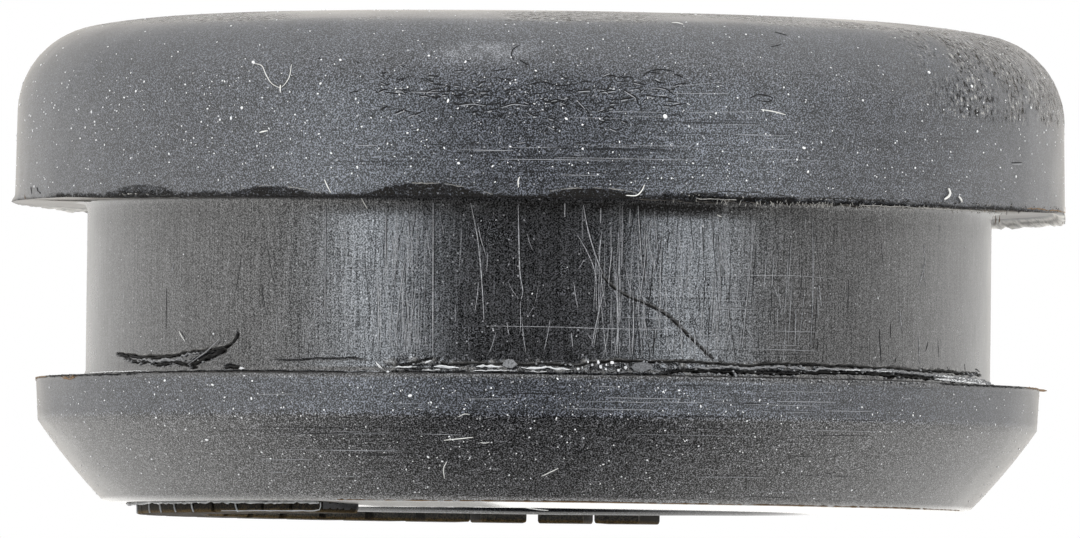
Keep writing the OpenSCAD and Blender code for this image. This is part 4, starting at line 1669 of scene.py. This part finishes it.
def area(name, where, size, size_y, radiance, colour, glossy=True):
    """An area lamp that faces the object and has the radiance given, where 1 is white."""
    la = bpy.data.lights.new(name, "AREA")
    la.shape = "RECTANGLE"
    la.size, la.size_y = size, size_y
    la.energy = radiance * math.pi * size * size_y
    la.color = colour
    ob = link(name, la)
    ob.location = where
    ob.rotation_mode = "QUATERNION"
    ob.rotation_quaternion = (CENTRE - ob.location).to_track_quat("-Z", "Y")
    ob.visible_camera = False
    ob.visible_glossy = glossy


def lamps():
    """Two softboxes, an overhead lamp, and a front fill without a reflection of its own."""
    cool = (0.85, 0.92, 1.0)
    area("softbox_left", around(-41.5, 8, 0.6), 0.23, 0.24, 4.5, cool)
    area("softbox_right", around(38.5, 8, 0.6), 0.24, 0.24, 4.3, cool)
    area("overhead", around(0, 80, 0.6), 1.2, 1.2, 0.4, (0.93, 0.96, 1.0))
    area("front_fill", around(0, 8, 1.5), 1.2, 1.0, 2.4, (0.95, 0.97, 1.0), glossy=False)


def world():
    """White to the camera. To the object, a pale room that is dark in front and far below."""
    w = bpy.data.worlds.new("studio")
    bpy.context.scene.world = w
    s = Nodes(w)
    s.tree.nodes.clear()
    out = s.new("OutputWorld")
    place = s.new("TexCoord").outputs["Generated"]
    parts = []
    for way, bright_at, dark_at, bright, dark in (
        ((0, -1, 0), 0.3, 0.98, 1.62, 0.111),
        ((0, -0.5, -0.866), 0.72, 0.955, 1.0, 0.03),
        ((0, 0.6, 0.8), 0.35, 0.9, 1.0, 0.76),
        ((0.978, -0.208, 0), 0.85, 0.985, 1.0, 0.66),
        ((-0.99, -0.14, 0), 0.85, 0.985, 1.0, 0.93),
        ((-0.45, -0.15, -0.88), 0.945, 0.995, 1.0, 0.45),
        ((0.55, -0.05, -0.833), 0.945, 0.995, 1.0, 0.6),
    ):
        along = s.vector("DOT_PRODUCT", place, way).outputs["Value"]
        parts.append(s.ramp(along, bright_at, dark_at, bright, dark))
    room = s.new("Background")
    room.inputs["Color"].default_value = (1.0, 0.99, 0.97, 1)
    s.put(room.inputs["Strength"], s.times(*parts))
    white = s.new("Background")
    white.inputs["Color"].default_value = (1.0, 1.0, 1.0, 1)
    white.inputs["Strength"].default_value = 1.0
    seen = s.new("LightPath").outputs["Is Camera Ray"]
    s.put(out.inputs["Surface"], s.blend(seen, room.outputs[0], white.outputs[0]))


def floor():
    """A matt floor, clear from below and to glossy rays."""
    me = bpy.data.meshes.new("floor")
    h = FLOOR_HALF
    me.from_pydata([(-h, -h, 0), (h, -h, 0), (h, h, 0), (-h, h, 0)], [], [(0, 1, 2, 3)])
    m = bpy.data.materials.new("floor")
    me.materials.append(m)
    s = Nodes(m)
    s.tree.nodes.clear()
    out = s.new("OutputMaterial")
    matt = s.new("BsdfDiffuse")
    matt.inputs["Color"].default_value = (0.8, 0.8, 0.8, 1)
    below = s.new("NewGeometry").outputs["Backfacing"]
    clear = s.most(below, s.new("LightPath").outputs["Is Glossy Ray"])
    mixed = s.blend(clear, matt.outputs[0], s.new("BsdfTransparent").outputs[0])
    s.put(out.inputs["Surface"], mixed)
    ob = link("floor", me)
    ob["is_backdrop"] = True


def camera():
    """The photo's view: far away, a little below the floor, rolled by a fraction of a degree."""
    cam = bpy.data.cameras.new("camera")
    cam.sensor_width = SENSOR_MM
    cam.lens = SENSOR_MM * CAM_DISTANCE / VIEW_WIDTH
    cam.clip_start, cam.clip_end = 0.05, 20
    ob = link("camera", cam)
    ob.location = (0, -CAM_DISTANCE, CAM_Z)
    look = (CAM_TARGET - ob.location).to_track_quat("-Z", "Y").to_matrix().to_4x4()
    ob.rotation_mode = "QUATERNION"
    ob.rotation_quaternion = (look @ Matrix.Rotation(CAM_ROLL, 4, "Z")).to_quaternion()
    bpy.context.scene.camera = ob


# ---------------------------------------------------------------- the object and its stage
body = ring_mesh("grommet_body")
body.data.materials.append(rubber())
# Near-white flash: pale skin whose whiteness is painted glints
bright = skin("pale_flash_and_painted_glints", 0.95, 0.95, 0.95, 0.3)
# Dark rubber for lines of painted shade
shade_rubber = skin("painted_shade_rubber", 0.01, 0.01, 0.011, 0.9)
pieces = [
    body,
    raised_marks(mark_rubber()),
    mark_flash(bright),
    lip_flash(bright),
    lip_skin(skin("peeled_rubber", 0.3, 0.3, 0.305, 0.5, vary=0.4)),
    rim_burr(skin("burr_rubber", 0.3, 0.29, 0.27, 0.6, vary=0.5)),
    *scratches(skin("scratched_rubber", 0.4, 0.4, 0.41, 0.4, vary=0.7), shade_rubber),
    lip_plates(skin("loose_rubber", 0.3, 0.3, 0.305, 0.5, vary=0.6)),
    torn_edges_and_shade(skin("torn_and_shade_rubber", 0.012, 0.011, 0.01, 0.8)),
    brown_edges(skin("brown_rubber", 0.2, 0.115, 0.05, 0.7)),
    # Light rubber for lines of painted highlight
    *fine_lines(shade_rubber, skin("painted_highlight_rubber", 0.4, 0.405, 0.42, 0.5)),
]
for piece in pieces:
    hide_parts("grommet")
dust(skin("dust_grains", 0.95, 0.95, 0.95, 0.7))
lint(skin("lint_fibre", 0.85, 0.84, 0.8, 0.7))

lamps()
world()
floor()
camera()
bpy.context.scene.view_settings.view_transform = "Standard"

size = {"before": [list(v) for v in (CAD_LO, CAD_HI)], "after": [list(v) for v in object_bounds()]}
